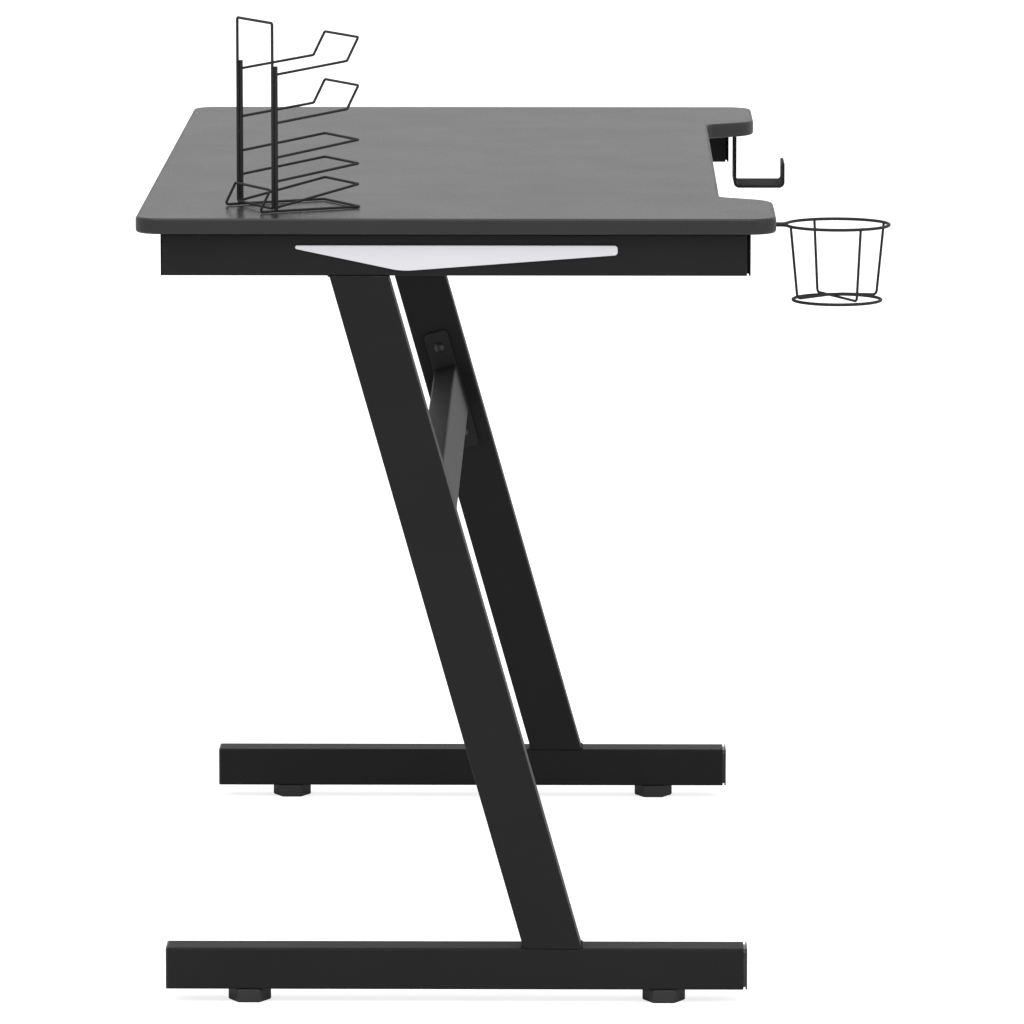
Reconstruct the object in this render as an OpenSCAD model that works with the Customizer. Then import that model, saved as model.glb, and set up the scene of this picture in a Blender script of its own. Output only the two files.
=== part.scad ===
// Gaming desk: a cut-out desktop on two leaning side frames, with a cup holder,
// a headset hook and a wire rack that stands on the desktop.
// Millimetres. +X is the sitter's right, -Y is the front, +Z is up, the floor is Z = 0.

/* [Overall] */
// Length of the desktop from left to right
desk_length = 1100; // [960:10:1400]
// Depth of the desktop from front to back
desk_depth = 600; // [560:10:760]
// Height of the desktop's upper face above the floor
desk_height = 750; // [680:5:850]

/* [Desktop] */
// Thickness of the board
board_thickness = 15; // [14:0.5:25]
// Radius of the four outer corners seen from above
corner_radius = 25; // [8:1:45]
// Depth of the cut-out for the sitter in the front edge
cutout_depth = 50; // [30:1:80]
// Width of each wing of the desktop beside the cut-out, at the front edge
wing_width = 165; // [150:1:200]
// How far each side of the cut-out leans outwards from bottom to mouth
cutout_flare = 32; // [16:1:45]
// Radius where each side of the cut-out meets its bottom
cutout_inner_radius = 20; // [8:1:35]
// Radius where each side of the cut-out meets the front edge
cutout_outer_radius = 40; // [10:1:50]
// Thickness of the plastic band round the board's edge
band_thickness = 3; // [0.8:0.1:4]

/* [Side frames] */
// Gap between a frame's outer face and the end of the desktop
frame_inset = 12; // [5:1:40]
// Width of a rail and of a leg, left to right
rail_width = 36; // [26:1:45]
// Height of a rail
rail_height = 40; // [36:1:60]
// Gap between a rail's end and the desktop's front or rear edge, seen from above
rail_end_inset = 24; // [10:1:40]
// Wall thickness of all tubes
tube_wall = 1.5; // [1:0.1:2.3]
// Outer corner radius of all tubes
tube_corner = 2.5; // [1.8:0.1:4]
// Width of a leg's side face, measured square to its length
leg_width = 53; // [40:1:70]
// How far a leg's foot stands ahead of its top
leg_run = 182; // [120:2:240]

/* [End caps] */
// Thickness of a cap's plate
cap_plate = 1.5; // [1:0.1:3]
// Chamfer round the outer face of the plate
cap_chamfer = 0.6; // [0.2:0.1:0.9]
// Length of the plug that stays in sight at the front caps
cap_neck = 2; // [0.5:0.1:5]
// Corner radius of the plug
cap_plug_corner = 5; // [1.5:0.5:8]
// Length of the plug inside the tube
cap_plug_length = 18; // [10:1:30]
// Wall thickness of the hollow plug
cap_plug_wall = 2; // [1.2:0.1:4]

/* [Crossbar] */
// Height of the crossbar's centre above the floor
crossbar_height = 448; // [300:2:560]
// How far the crossbar stands behind the middle lines of the legs
crossbar_setback = 1.5; // [0:0.5:4]
// Width of the crossbar along the lean of the legs
crossbar_width = 50; // [40:1:60]
// Depth of the crossbar square to the lean
crossbar_depth = 25; // [20:1:30]
// Length of an end plate along the lean
plate_length = 130; // [120:1:150]
// Width of an end plate
plate_width = 26; // [24:1:40]
// Thickness of an end plate
plate_thickness = 4; // [3:0.5:6]
// Corner radius of an end plate
plate_corner = 5; // [2:0.5:10]
// Distance between the two bolts of an end plate
plate_bolt_spacing = 96; // [80:1:106]

/* [Levelling glides] */
// Height of the rails above the floor with the glides screwed in
glide_height = 13; // [11:0.5:18]
// Width of a glide's hexagonal pad across its flats
pad_flats = 35.5; // [30:0.5:45]
// Distance from the rail's end to the centre of a glide
glide_from_end = 79; // [50:1:110]
// Diameter of a glide's threaded stud
stud_diameter = 8; // [6:0.5:10]
// Length of a stud above its pad
stud_reach = 19; // [18:0.5:26]
// Diameter of the stud's head, which is held inside the pad
stud_head_diameter = 15; // [12:0.5:20]
// Thickness of the stud's head
stud_head_height = 3; // [2:0.5:4]
// Width across the flats of the nut that is welded in for a stud
stud_nut_flats = 13; // [12:0.5:18]
// Height of the nut that is welded in for a stud
stud_nut_height = 6.5; // [5:0.5:8]

/* [Bolts and screws] */
// Diameter of the machine bolts
bolt_diameter = 6; // [5:0.5:7]
// Diameter of a bolt's head
bolt_head_diameter = 11.5; // [10:0.5:13]
// Height of a bolt's head
bolt_head_height = 3.3; // [2.5:0.1:4]
// Hexagon socket in a bolt's head, across its flats
bolt_socket = 4; // [3:0.5:5]
// Width across the flats of the nuts inside the legs
nut_flats = 10; // [9:0.5:13]
// Height of the nuts inside the legs
nut_height = 5; // [4:0.5:7]
// Diameter of the threaded inserts in the board
insert_diameter = 9; // [8:0.5:11]
// Length of the threaded inserts in the board
insert_length = 10; // [7:0.5:11]
// Diameter of the access holes under the upper rails
access_diameter = 13.5; // [13.1:0.1:16]
// Diameter of the wood screws
screw_diameter = 4; // [3:0.5:5]
// Diameter of a wood screw's head
screw_head_diameter = 8.5; // [8:0.5:10]
// Height of a wood screw's head
screw_head_height = 2.4; // [1.8:0.1:3]
// Depth to which a wood screw goes into the board
screw_depth = 10; // [6:0.5:11]

/* [Trim panels] */
// Length of a trim panel along its rail
trim_length = 317; // [200:1:400]
// Distance from the rail's middle back to the panel's middle
trim_shift = 7; // [0:0.5:12]
// Height of a trim panel at its lowest corner
trim_height = 24.2; // [16:0.1:26]
// Height of a trim panel at its blunt front end
trim_end_height = 9; // [6:0.5:14]
// Distance from the pointed rear tip to the lowest corner
trim_corner_from_tip = 115; // [60:1:140]
// Distance from the rail's upper face to the panel's upper edge
trim_from_top = 11.2; // [6:0.1:13]
// Thickness of a trim panel
trim_thickness = 2; // [1:0.1:4]
// Radius at the pointed rear tip
trim_tip_radius = 1.8; // [0.4:0.1:2]
// Radius at the lowest corner
trim_corner_radius = 70; // [20:5:120]
// Radius of the two corners of the front end
trim_end_radius = 3; // [1:0.5:4]
// Diameter of the pegs that hold a panel in the rail
trim_peg_diameter = 5; // [4:0.5:6]
// Length of a peg behind the rail's outer wall
trim_peg_reach = 3; // [2:0.5:6]

/* [Headset hook] */
// Distance from the right frame's inner face to the hook
hook_from_frame = 12; // [5:1:30]
// Width of the hook's strip
hook_width = 70; // [40:1:90]
// Thickness of the hook's strip
hook_thickness = 3; // [2:0.1:4]
// Distance from the desktop's front edge back to the hook's hanging part
hook_setback = 17.3; // [12:0.1:24]
// Depth of the hook below the desktop
hook_drop = 59; // [45:1:80]
// Length of the hook from its hanging part to its tip, outside measure
hook_reach = 54.3; // [40:0.1:70]
// Height of the upturned tip above the hook's lowest face
hook_tip_height = 25.5; // [15:0.5:40]
// Inner bend radius of the strip
hook_bend = 3; // [2:0.5:6]
// Corner radius of the strip's free ends
hook_corner = 6; // [2:0.5:12]
// Length of the flange that is screwed under the desktop
hook_flange = 38; // [30:1:50]

/* [Cup holder] */
// Distance from the left frame's inner face to the middle of the cup holder
cup_from_frame = 57; // [30:1:75]
// Distance from the desktop's front edge to the middle of the rings
cup_from_edge = 60; // [58:1:80]
// Diameter of the upper ring, measured to the middle of the wire
cup_top_diameter = 98; // [84:1:102]
// Diameter of the lower ring, measured to the middle of the wire
cup_bottom_diameter = 83.4; // [70:0.2:90]
// Height from the lower ring to the upper ring
cup_height = 71.5; // [50:0.5:110]
// Diameter of the ring wire
ring_wire = 3; // [2:0.1:3.5]
// Diameter of the cradle wires
cradle_wire = 2.5; // [2:0.1:3]
// Angle by which the cradle is turned round the cup holder's axis
cradle_turn = 24.5; // [0:0.5:45]
// Bend radius at the foot of the cradle wires
cradle_bend = 4; // [3:0.5:8]
// Distance from the cradle's crossing to each bend of the wire that bows over it
cradle_bow = 5; // [4:0.5:12]
// Half the distance between the two wires that lead under the desktop
stem_offset = 6; // [4:0.5:9]
// Radius of the bends between the upper ring and the stem wires
stem_bend = 7; // [5:0.5:8]
// Distance from the desktop's front edge back to the screw eyes
eye_setback = 32; // [20:1:45]

/* [Rack] */
// Distance from the desktop's left end to the middle of the rack's posts
rack_from_end = 84; // [60:1:200]
// Distance from the desktop's rear edge to the middle of the rack's posts
rack_from_rear = 113; // [80:1:200]
// Angle by which the rack is turned, seen from above
rack_turn = 28; // [0:0.5:60]
// Distance between the two posts
rack_width = 76; // [60:1:110]
// Height of the rack
rack_height = 179.5; // [150:0.5:220]
// Height of the bars on the posts
rack_bar_height = 137.5; // [134:0.5:145]
// Diameter of the bars on the posts
rack_bar_wire = 4; // [2.5:0.1:5]
// Diameter of the wire of the rack's closed frame
rack_frame_wire = 2.7; // [2:0.1:3]
// Diameter of the other rack wires
rack_wire = 2.5; // [2:0.1:3]
// Distance from the posts to the tips of the arms
rack_reach = 87.5; // [70:0.5:110]
// How far each side of an arm leans inwards, up to its knee or its tip
rack_arm_taper = 2; // [0:0.5:6]
// Distance from the bend of the two hooks out to their tips
rack_tip_run = 12; // [4:0.5:20]
// Distance from the posts back to the rear foot
rack_foot_reach = 17; // [12:0.5:30]
// Height of the rear foot's upper wire
rack_foot_height = 21.5; // [15:0.5:26]
// Bend radius of the rack wires
rack_bend = 2; // [2:0.5:4]
// Height of the upper hook on the posts
rack_hook_upper_height = 130; // [120:0.5:132]
// Height of the lower hook on the posts
rack_hook_lower_height = 84.5; // [76:0.5:94]
// Rise of both hooks from the posts to their bend
rack_knee_rise = 9.5; // [4:0.5:16]
// Rise of both hooks from the posts to their tip
rack_tip_rise = 31.5; // [20:0.5:42]
// Height of the upper shelf on the posts
rack_shelf_upper_height = 52; // [46:0.5:62]
// Height of the middle shelf on the posts
rack_shelf_middle_height = 29.5; // [26:0.5:34]
// Rise of the upper and the middle shelf to their tips
rack_shelf_rise = 12.5; // [6:0.5:18]
// Height of the lower shelf on the posts
rack_shelf_lower_height = 5; // [4:0.5:7]
// Rise of the lower shelf to its tip
rack_shelf_lower_rise = 17.5; // [10:0.5:22]

/* [Hidden] */
$fn = 48;

// Signs of the two sides and the two ends
left = -1;
right = 1;
front = -1;
rear = 1;

// Overrun of every cut past the face that it opens
overrun = 1;
// Gap left between welded or glued pieces, so that they meet without overlapping
joint_gap = 0.05;
// Gap between a cap's plug and the inside of its tube
plug_gap = 0.15;
// Radial clearance of a shank in its thread or pilot hole
thread_gap = 0.05;
// Spare depth of a blind hole past what it holds
hole_spare = 1;
// Radial clearance of a bolt or a screw in a plain hole
hole_gap = 0.4;
// Gap between pieces that move on each other
running_gap = 0.3;
// Gap under the standing rack
standing_gap = 0.3;
// Axial clearance of a stud's head inside its pad
head_gap = 0.1;
// Depth of a bolt's hexagon socket
socket_depth = 2;
// Width of the cross in a wood screw's head
cross_width = 1;
// Depth of the cross in a wood screw's head
cross_depth = 1.2;
// Length of a bolt past its nut
bolt_spare = 1.5;
// Extra diameter of a wire in its bends
bend_swell = 0.02;
// How far the next straight run of a wire reaches into a bend
bend_lap = 0.1;
// Facets round a bent wire
wire_facets = 24;
// Steps in each round of the cut-out
cutout_steps = 16;
// Steps in each round of a trim panel
trim_steps = 12;

// Heights
board_bottom = desk_height - board_thickness;
top_rail_z = board_bottom - rail_height;
bottom_rail_top = glide_height + rail_height;
leg_rise = top_rail_z - bottom_rail_top;
leg_middle_z = (top_rail_z + bottom_rail_top) / 2;

// Plan of the frames
frame_x = desk_length / 2 - frame_inset - rail_width / 2;
frame_inner_x = frame_x - rail_width / 2;
frame_outer_x = frame_x + rail_width / 2;
rail_length = desk_depth - 2 * rail_end_inset;
tube_length = rail_length - 2 * cap_plate - cap_neck;
tube_front = -rail_length / 2 + cap_plate + cap_neck;
tube_rear = rail_length / 2 - cap_plate;
glide_y = rail_length / 2 - glide_from_end;
// Places of an upper rail's bolts, as shares of its length from its middle
rail_bolt_shares = [-0.38, -0.05, 0.38];
// Places of a trim panel's pegs, as shares of its length from its middle
trim_peg_shares = [-0.4, 0, 0.3];
trim_peg_z = rail_height - trim_from_top - trim_end_height / 2;

// Lean of the legs from upright, and the middle of the crossbar on them
leg_lean = atan(leg_run / leg_rise);
crossbar_y = (crossbar_height - leg_middle_z) * leg_run / leg_rise + crossbar_setback;
crossbar_length = 2 * (frame_inner_x - plate_thickness - 2 * joint_gap);
plate_hole_d = bolt_diameter + 2 * hole_gap;

// Hexagonal pad, from across its flats to its corners
pad_corner_radius = pad_flats / 2 / cos(30);
pad_top = glide_height - running_gap;
stud_head_z = (pad_top - stud_head_height) / 2;
stud_top = pad_top + stud_reach;

// Cut-out of the desktop: the lean of its sides and the centres of its two radii
cutout_angle = atan(cutout_depth / cutout_flare);
cutout_bottom_y = -desk_depth / 2 + cutout_depth;
cutout_mouth_x = desk_length / 2 - wing_width;
cutout_inner_x = cutout_mouth_x - cutout_flare - cutout_inner_radius * tan(cutout_angle / 2);
cutout_inner_y = cutout_bottom_y - cutout_inner_radius;
cutout_outer_x = cutout_mouth_x + cutout_outer_radius * tan(cutout_angle / 2);
cutout_outer_y = -desk_depth / 2 + cutout_outer_radius;

// Middle of the hook, of the cup holder and of the rack
hook_x = frame_inner_x - hook_from_frame - hook_width / 2;
hook_back_y = -desk_depth / 2 + hook_setback + hook_thickness;
hook_tip_y = hook_back_y - hook_reach;
hook_bottom = board_bottom - joint_gap - hook_drop;
hook_screw_spacing = hook_width / 2;
cup_x = cup_from_frame - frame_inner_x;
cup_y = -desk_depth / 2 - cup_from_edge;
cup_top_z = board_bottom - joint_gap - ring_wire / 2;
cup_bottom_z = cup_top_z - cup_height;
cradle_foot_z = -cup_height + ring_wire / 2 + cradle_wire / 2 + joint_gap;
stem_angle = asin((stem_offset + stem_bend) / (cup_top_diameter / 2 + stem_bend));
stem_start = (cup_top_diameter / 2 + stem_bend) * cos(stem_angle);
stem_end = cup_from_edge + eye_setback;
ring_lap = atan(2 * bend_lap / cup_top_diameter);
eye_radius = screw_diameter / 2 + hole_gap + ring_wire / 2;
eye_x = stem_offset + eye_radius;
// Share of a full turn that a screw eye goes round
eye_turn_share = 0.75;
rack_x = rack_from_end - desk_length / 2;
rack_y = desk_depth / 2 - rack_from_rear;
rack_z = desk_height + standing_gap;
rack_half = rack_width / 2;
rack_knee = rack_reach - rack_tip_run;
rack_arm_start = rack_bar_wire / 2 + joint_gap;
rack_frame_back = rack_bar_wire / 2 + rack_frame_wire / 2 + joint_gap;
rack_foot_back = rack_frame_back + rack_frame_wire / 2 + rack_wire / 2 + joint_gap;
rack_base_z = rack_wire / 2;
rack_on_base = rack_wire + joint_gap;

// The origin lies under the middle of the whole outline, cup holder and hook included
cup_front = cup_from_edge + cup_top_diameter / 2 + ring_wire / 2;
hook_front = hook_reach - hook_setback - hook_thickness;
desk_y = max(cup_front, hook_front) / 2;

// Colours
laminate_colour = "#3a3a3b";
band_colour = "#2f2f30";
metal_colour = "#262627";
wire_colour = "#2c2c2d";
plastic_colour = "#303031";
trim_colour = "#e4e3ea";
zinc_colour = "#a9abad";

// Moves a piece from the desktop's own middle to the shared origin
module placed() {
    translate([0, desk_y, 0]) children();
}

// Vector helpers for bent wires
function unit(v) = v / norm(v);
function corner_dir(points, i) = unit(points[(i + 1) % len(points)] - points[i % len(points)]);
function corner_turn(points, i) =
    acos(corner_dir(points, i + len(points) - 1) * corner_dir(points, i));
function corner_trim(points, i, bend) = bend * tan(corner_turn(points, i) / 2);

// Points of an arc from one angle to another
function arc(centre, radius, from, to, steps) =
    [for (i = [0:steps]) centre + radius * [cos(from + (to - from) * i / steps),
                                            sin(from + (to - from) * i / steps)]];

// Points of the round that replaces a corner of an outline, which turns clockwise there
function fillet(before, corner, after, radius, steps) =
    let (
        into = unit(corner - before),
        away = unit(after - corner),
        turn = acos(into * away),
        start = corner - into * radius * tan(turn / 2),
        centre = start + radius * [into[1], -into[0]],
        from = atan2(start[1] - centre[1], start[0] - centre[0])
    )
    arc(centre, radius, from, from - turn, steps);

// Rectangle with round corners, centred
module round_rect(width, height, radius) {
    square([width - 2 * radius, height], center = true);
    square([width, height - 2 * radius], center = true);
    for (x = [-1, 1], y = [-1, 1]) {
        translate([x * (width / 2 - radius), y * (height / 2 - radius)]) circle(r = radius);
    }
}

// Hollow tube section, with its height along Y
module tube_section(width, height) {
    difference() {
        round_rect(width, height, tube_corner);
        round_rect(width - 2 * tube_wall, height - 2 * tube_wall, tube_corner - tube_wall);
    }
}

// Straight wire between two points
module wire_straight(from, to, wire) {
    d = to - from;
    translate(from)
        rotate([0, acos(d[2] / norm(d)), atan2(d[1], d[0])])
            cylinder(h = norm(d), d = wire);
}

// Bend of a wire at a corner, between two directions
module wire_bend(corner, before, after, bend, wire) {
    turn = acos(before * after);
    axis = unit(cross(before, after));
    centre = corner + unit(after - before) * bend / cos(turn / 2);
    out = unit(corner - before * bend * tan(turn / 2) - centre);
    multmatrix([
        [out[0], before[0], axis[0], centre[0]],
        [out[1], before[1], axis[1], centre[1]],
        [out[2], before[2], axis[2], centre[2]],
        [0, 0, 0, 1]
    ])
        rotate_extrude(angle = turn) translate([bend, 0]) circle(d = wire + bend_swell, $fn = wire_facets);
}

// Wire bent through a list of corners, open or closed
module wire_path(points, bend, wire, closed = false) {
    n = len(points);
    for (i = [0:closed ? n - 1 : n - 2]) {
        from = points[i];
        to = points[(i + 1) % n];
        dir = unit(to - from);
        trim_from = closed || i > 0 ? corner_trim(points, i, bend) - bend_lap : 0;
        trim_to = closed || i < n - 2 ? corner_trim(points, (i + 1) % n, bend) - bend_lap : 0;
        wire_straight(from + dir * trim_from, to - dir * trim_to, wire);
    }
    for (i = [closed ? 0 : 1:closed ? n - 1 : n - 2]) {
        wire_bend(points[i], corner_dir(points, i + n - 1), corner_dir(points, i), bend, wire);
    }
}

// Button head: a dome on a flat, standing along +Z
module button_head(diameter, height) {
    dome = (diameter * diameter / 4 + height * height) / (2 * height);
    intersection() {
        cylinder(h = 2 * height, d = 2 * diameter);
        translate([0, 0, height - dome]) sphere(r = dome);
    }
}

// Machine bolt: its head stands along +Z and its shank goes down from Z = 0
module bolt(length) {
    difference() {
        union() {
            button_head(bolt_head_diameter, bolt_head_height);
            translate([0, 0, -length]) cylinder(h = length + socket_depth / 2, d = bolt_diameter);
        }
        translate([0, 0, bolt_head_height - socket_depth])
            cylinder(h = socket_depth + overrun, d = bolt_socket / cos(30), $fn = 6);
    }
}

// Wood screw: its head hangs along -Z and its shank goes up from Z = 0
module wood_screw(length) {
    difference() {
        union() {
            mirror([0, 0, 1]) button_head(screw_head_diameter, screw_head_height);
            translate([0, 0, -cross_depth / 2])
                cylinder(h = length + cross_depth / 2, d = screw_diameter);
        }
        for (turn = [0, 90]) {
            rotate([0, 0, turn])
                translate([0, 0, -screw_head_height])
                    cube([screw_head_diameter / 2, cross_width, 2 * cross_depth], center = true);
        }
    }
}

// Hexagonal nut with a plain bore, standing along +Z
module hex_nut(flats, height, bore) {
    difference() {
        cylinder(h = height, d = flats / cos(30), $fn = 6);
        translate([0, 0, -overrun]) cylinder(h = height + 2 * overrun, d = bore);
    }
}

// Desktop outline drawn in by a distance that follows every edge
module desktop_outline(inset) {
    mouth = -desk_depth / 2 - overrun;
    half = concat(
        [[cutout_outer_x, mouth]],
        arc([cutout_outer_x, cutout_outer_y], cutout_outer_radius - inset,
            -90, -90 - cutout_angle, cutout_steps),
        arc([cutout_inner_x, cutout_inner_y], cutout_inner_radius + inset,
            90 - cutout_angle, 90, cutout_steps)
    );
    difference() {
        round_rect(desk_length - 2 * inset, desk_depth - 2 * inset, corner_radius - inset);
        polygon(concat(half, [for (i = [len(half) - 1:-1:0]) [-half[i][0], half[i][1]]]));
    }
}

// Places of the bolts that hold the desktop on the upper rails
module at_rail_bolts() {
    for (side = [left, right], share = rail_bolt_shares) {
        translate([side * frame_x, share * rail_length, 0]) children();
    }
}

// Places of the wood screws of the hook and of the cup holder
module at_hook_screws() {
    for (x = [-1, 1]) {
        translate([hook_x + x * hook_screw_spacing / 2, hook_back_y + hook_flange / 2, 0])
            children();
    }
}

module at_cup_screws() {
    for (x = [-1, 1]) {
        translate([cup_x + x * eye_x, cup_y + stem_end, 0]) children();
    }
}

// Places on both end plates, turned so that +Z points from the leg to the desk's middle
module at_plate_bolts() {
    for (side = [left, right], along = [-1, 1]) {
        translate([side * frame_inner_x, crossbar_y, crossbar_height])
            rotate([-leg_lean, 0, 0])
                translate([0, 0, along * plate_bolt_spacing / 2])
                    rotate([0, -side * 90, 0])
                        children();
    }
}

// Board with its laminated faces, and the blind holes in its underside
module tabletop_board() {
    color(laminate_colour) placed() difference() {
        translate([0, 0, board_bottom])
            linear_extrude(board_thickness) desktop_outline(band_thickness + joint_gap);
        translate([0, 0, board_bottom - overrun]) {
            at_rail_bolts() cylinder(h = overrun + insert_length + hole_spare,
                                     d = insert_diameter + 2 * thread_gap);
            at_hook_screws() cylinder(h = overrun + screw_depth + hole_spare,
                                      d = screw_diameter + 2 * thread_gap);
            at_cup_screws() cylinder(h = overrun + screw_depth + hole_spare,
                                     d = screw_diameter + 2 * thread_gap);
        }
    }
}

// Plastic band glued round the whole edge of the board
module edge_band() {
    color(band_colour) placed() translate([0, 0, board_bottom])
        linear_extrude(board_thickness) difference() {
            desktop_outline(0);
            desktop_outline(band_thickness);
        }
}

// Threaded inserts pressed into the underside of the board
module board_inserts() {
    color(zinc_colour) placed() translate([0, 0, board_bottom]) at_rail_bolts() difference() {
        cylinder(h = insert_length, d = insert_diameter);
        translate([0, 0, -overrun])
            cylinder(h = insert_length + 2 * overrun, d = bolt_diameter + 2 * thread_gap);
    }
}

// Bolts from inside the upper rails into the inserts
module tabletop_bolts() {
    color(zinc_colour) placed()
        translate([0, 0, board_bottom - tube_wall - joint_gap]) at_rail_bolts()
            rotate([180, 0, 0]) bolt(tube_wall + insert_length - bolt_spare);
}

// Rail tube along Y, with its underside at Z = 0
module rail_tube() {
    translate([0, tube_rear, rail_height / 2])
        rotate([90, 0, 0]) linear_extrude(tube_length) tube_section(rail_width, rail_height);
}

// Upper rail with its bolt holes, access holes and peg holes
module top_rail(side) {
    color(metal_colour) placed() translate([side * frame_x, 0, top_rail_z]) difference() {
        rail_tube();
        for (share = rail_bolt_shares) {
            translate([0, share * rail_length, rail_height - tube_wall - overrun])
                cylinder(h = tube_wall + 2 * overrun, d = bolt_diameter + 2 * hole_gap);
            translate([0, share * rail_length, -overrun])
                cylinder(h = tube_wall + 2 * overrun, d = access_diameter);
        }
        for (share = trim_peg_shares) {
            translate([side * rail_width / 2, trim_shift + share * trim_length, trim_peg_z])
                rotate([0, -side * 90, 0])
                    translate([0, 0, -overrun])
                        cylinder(h = tube_wall + 2 * overrun,
                                 d = trim_peg_diameter + 2 * thread_gap);
        }
    }
}

module top_rail_left() { top_rail(left); }
module top_rail_right() { top_rail(right); }

// Lower rail with the holes for the glide studs
module bottom_rail(side) {
    color(metal_colour) placed() translate([side * frame_x, 0, glide_height]) difference() {
        rail_tube();
        for (end = [front, rear]) {
            translate([0, end * glide_y, -overrun])
                cylinder(h = tube_wall + 2 * overrun, d = stud_diameter + 2 * hole_gap);
        }
    }
}

module bottom_rail_left() { bottom_rail(left); }
module bottom_rail_right() { bottom_rail(right); }

// Leaning leg tube, cut level where it is welded between the two rails
module leg(side) {
    slant = leg_rise / cos(leg_lean) + 2 * leg_width;
    color(metal_colour) placed() difference() {
        intersection() {
            translate([side * frame_x, 0, leg_middle_z])
                rotate([-leg_lean, 0, 0])
                    translate([0, 0, -slant / 2])
                        linear_extrude(slant) tube_section(rail_width, leg_width);
            translate([side * frame_x, 0, leg_middle_z])
                cube([2 * rail_width, 2 * desk_depth, leg_rise - 2 * joint_gap], center = true);
        }
        at_plate_bolts()
            translate([0, 0, -tube_wall - overrun])
                cylinder(h = tube_wall + 2 * overrun, d = bolt_diameter + 2 * hole_gap);
    }
}

module leg_left() { leg(left); }
module leg_right() { leg(right); }

// Side view of a cap's plate, chamfered round its outer face, over a given width
module cap_profile(width) {
    polygon([
        [-width / 2, 0], [width / 2, 0],
        [width / 2, cap_plate - cap_chamfer], [width / 2 - cap_chamfer, cap_plate],
        [-width / 2 + cap_chamfer, cap_plate], [-width / 2, cap_plate - cap_chamfer]
    ]);
}

// End cap with its plate along +Y and its hollow plug along -Y, centred on the tube
module end_cap(neck) {
    plug_width = rail_width - 2 * tube_wall - 2 * plug_gap;
    plug_height = rail_height - 2 * tube_wall - 2 * plug_gap;
    intersection() {
        translate([0, cap_plate, 0]) rotate([90, 0, 0])
            linear_extrude(cap_plate) round_rect(rail_width, rail_height, tube_corner);
        translate([0, 0, -rail_height / 2]) linear_extrude(rail_height) cap_profile(rail_width);
        rotate([0, 90, 0]) translate([0, 0, -rail_width / 2])
            linear_extrude(rail_width) cap_profile(rail_height);
    }
    translate([0, cap_plate / 2, 0]) rotate([90, 0, 0]) difference() {
        linear_extrude(cap_plate / 2 + neck + cap_plug_length)
            round_rect(plug_width, plug_height, cap_plug_corner);
        translate([0, 0, cap_plate / 2 + neck + cap_plug_wall])
            linear_extrude(cap_plug_length)
                round_rect(plug_width - 2 * cap_plug_wall, plug_height - 2 * cap_plug_wall,
                           cap_plug_corner / 2);
    }
}

// End cap in one end of one rail
module placed_cap(side, end, rail_z) {
    neck = end == front ? cap_neck : joint_gap;
    tube_end = end == front ? tube_front : tube_rear;
    color(plastic_colour) placed()
        translate([side * frame_x, tube_end + end * neck, rail_z + rail_height / 2])
            rotate([0, 0, end == rear ? 0 : 180])
                end_cap(neck);
}

module cap_top_front_left() { placed_cap(left, front, top_rail_z); }
module cap_top_rear_left() { placed_cap(left, rear, top_rail_z); }
module cap_top_front_right() { placed_cap(right, front, top_rail_z); }
module cap_top_rear_right() { placed_cap(right, rear, top_rail_z); }
module cap_bottom_front_left() { placed_cap(left, front, glide_height); }
module cap_bottom_rear_left() { placed_cap(left, rear, glide_height); }
module cap_bottom_front_right() { placed_cap(right, front, glide_height); }
module cap_bottom_rear_right() { placed_cap(right, rear, glide_height); }

// Crossbar tube between the two end plates, set along the lean of the legs
module crossbar() {
    color(metal_colour) placed()
        translate([-crossbar_length / 2, crossbar_y, crossbar_height])
            rotate([-leg_lean, 0, 0]) rotate([90, 0, 90])
                linear_extrude(crossbar_length) tube_section(crossbar_depth, crossbar_width);
}

// End plate of the crossbar, bolted to the inner face of a leg
module crossbar_plate(side) {
    color(metal_colour) placed() difference() {
        translate([side * (frame_inner_x - joint_gap - plate_thickness / 2),
                   crossbar_y, crossbar_height])
            rotate([-leg_lean, 0, 0]) rotate([90, 0, 90])
                translate([0, 0, -plate_thickness / 2])
                    linear_extrude(plate_thickness)
                        round_rect(plate_width, plate_length, plate_corner);
        at_plate_bolts() translate([0, 0, -overrun])
            cylinder(h = plate_thickness + 2 * overrun, d = plate_hole_d);
    }
}

module crossbar_plate_left() { crossbar_plate(left); }
module crossbar_plate_right() { crossbar_plate(right); }

// Bolts through the end plates into the legs
module crossbar_bolts() {
    color(wire_colour) placed() at_plate_bolts()
        translate([0, 0, plate_thickness + 2 * joint_gap])
            bolt(plate_thickness + tube_wall + nut_height + bolt_spare);
}

// Nuts welded inside the legs for the crossbar's bolts
module leg_nuts() {
    color(zinc_colour) placed() at_plate_bolts()
        translate([0, 0, -tube_wall - nut_height - joint_gap])
            hex_nut(nut_flats, nut_height, bolt_diameter + 2 * thread_gap);
}

// Outline of a trim panel, with X towards the rear and Y up from the rail's underside
module trim_outline() {
    tip = [trim_length / 2, rail_height - trim_from_top];
    low = [tip[0] - trim_corner_from_tip, tip[1] - trim_height];
    end_low = [-trim_length / 2, tip[1] - trim_end_height];
    end_top = [-trim_length / 2, tip[1]];
    corners = [tip, low, end_low, end_top];
    radii = [trim_tip_radius, trim_corner_radius, trim_end_radius, trim_end_radius];
    polygon([for (i = [0:3]) each fillet(corners[(i + 3) % 4], corners[i], corners[(i + 1) % 4],
                                         radii[i], trim_steps)]);
}

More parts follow.
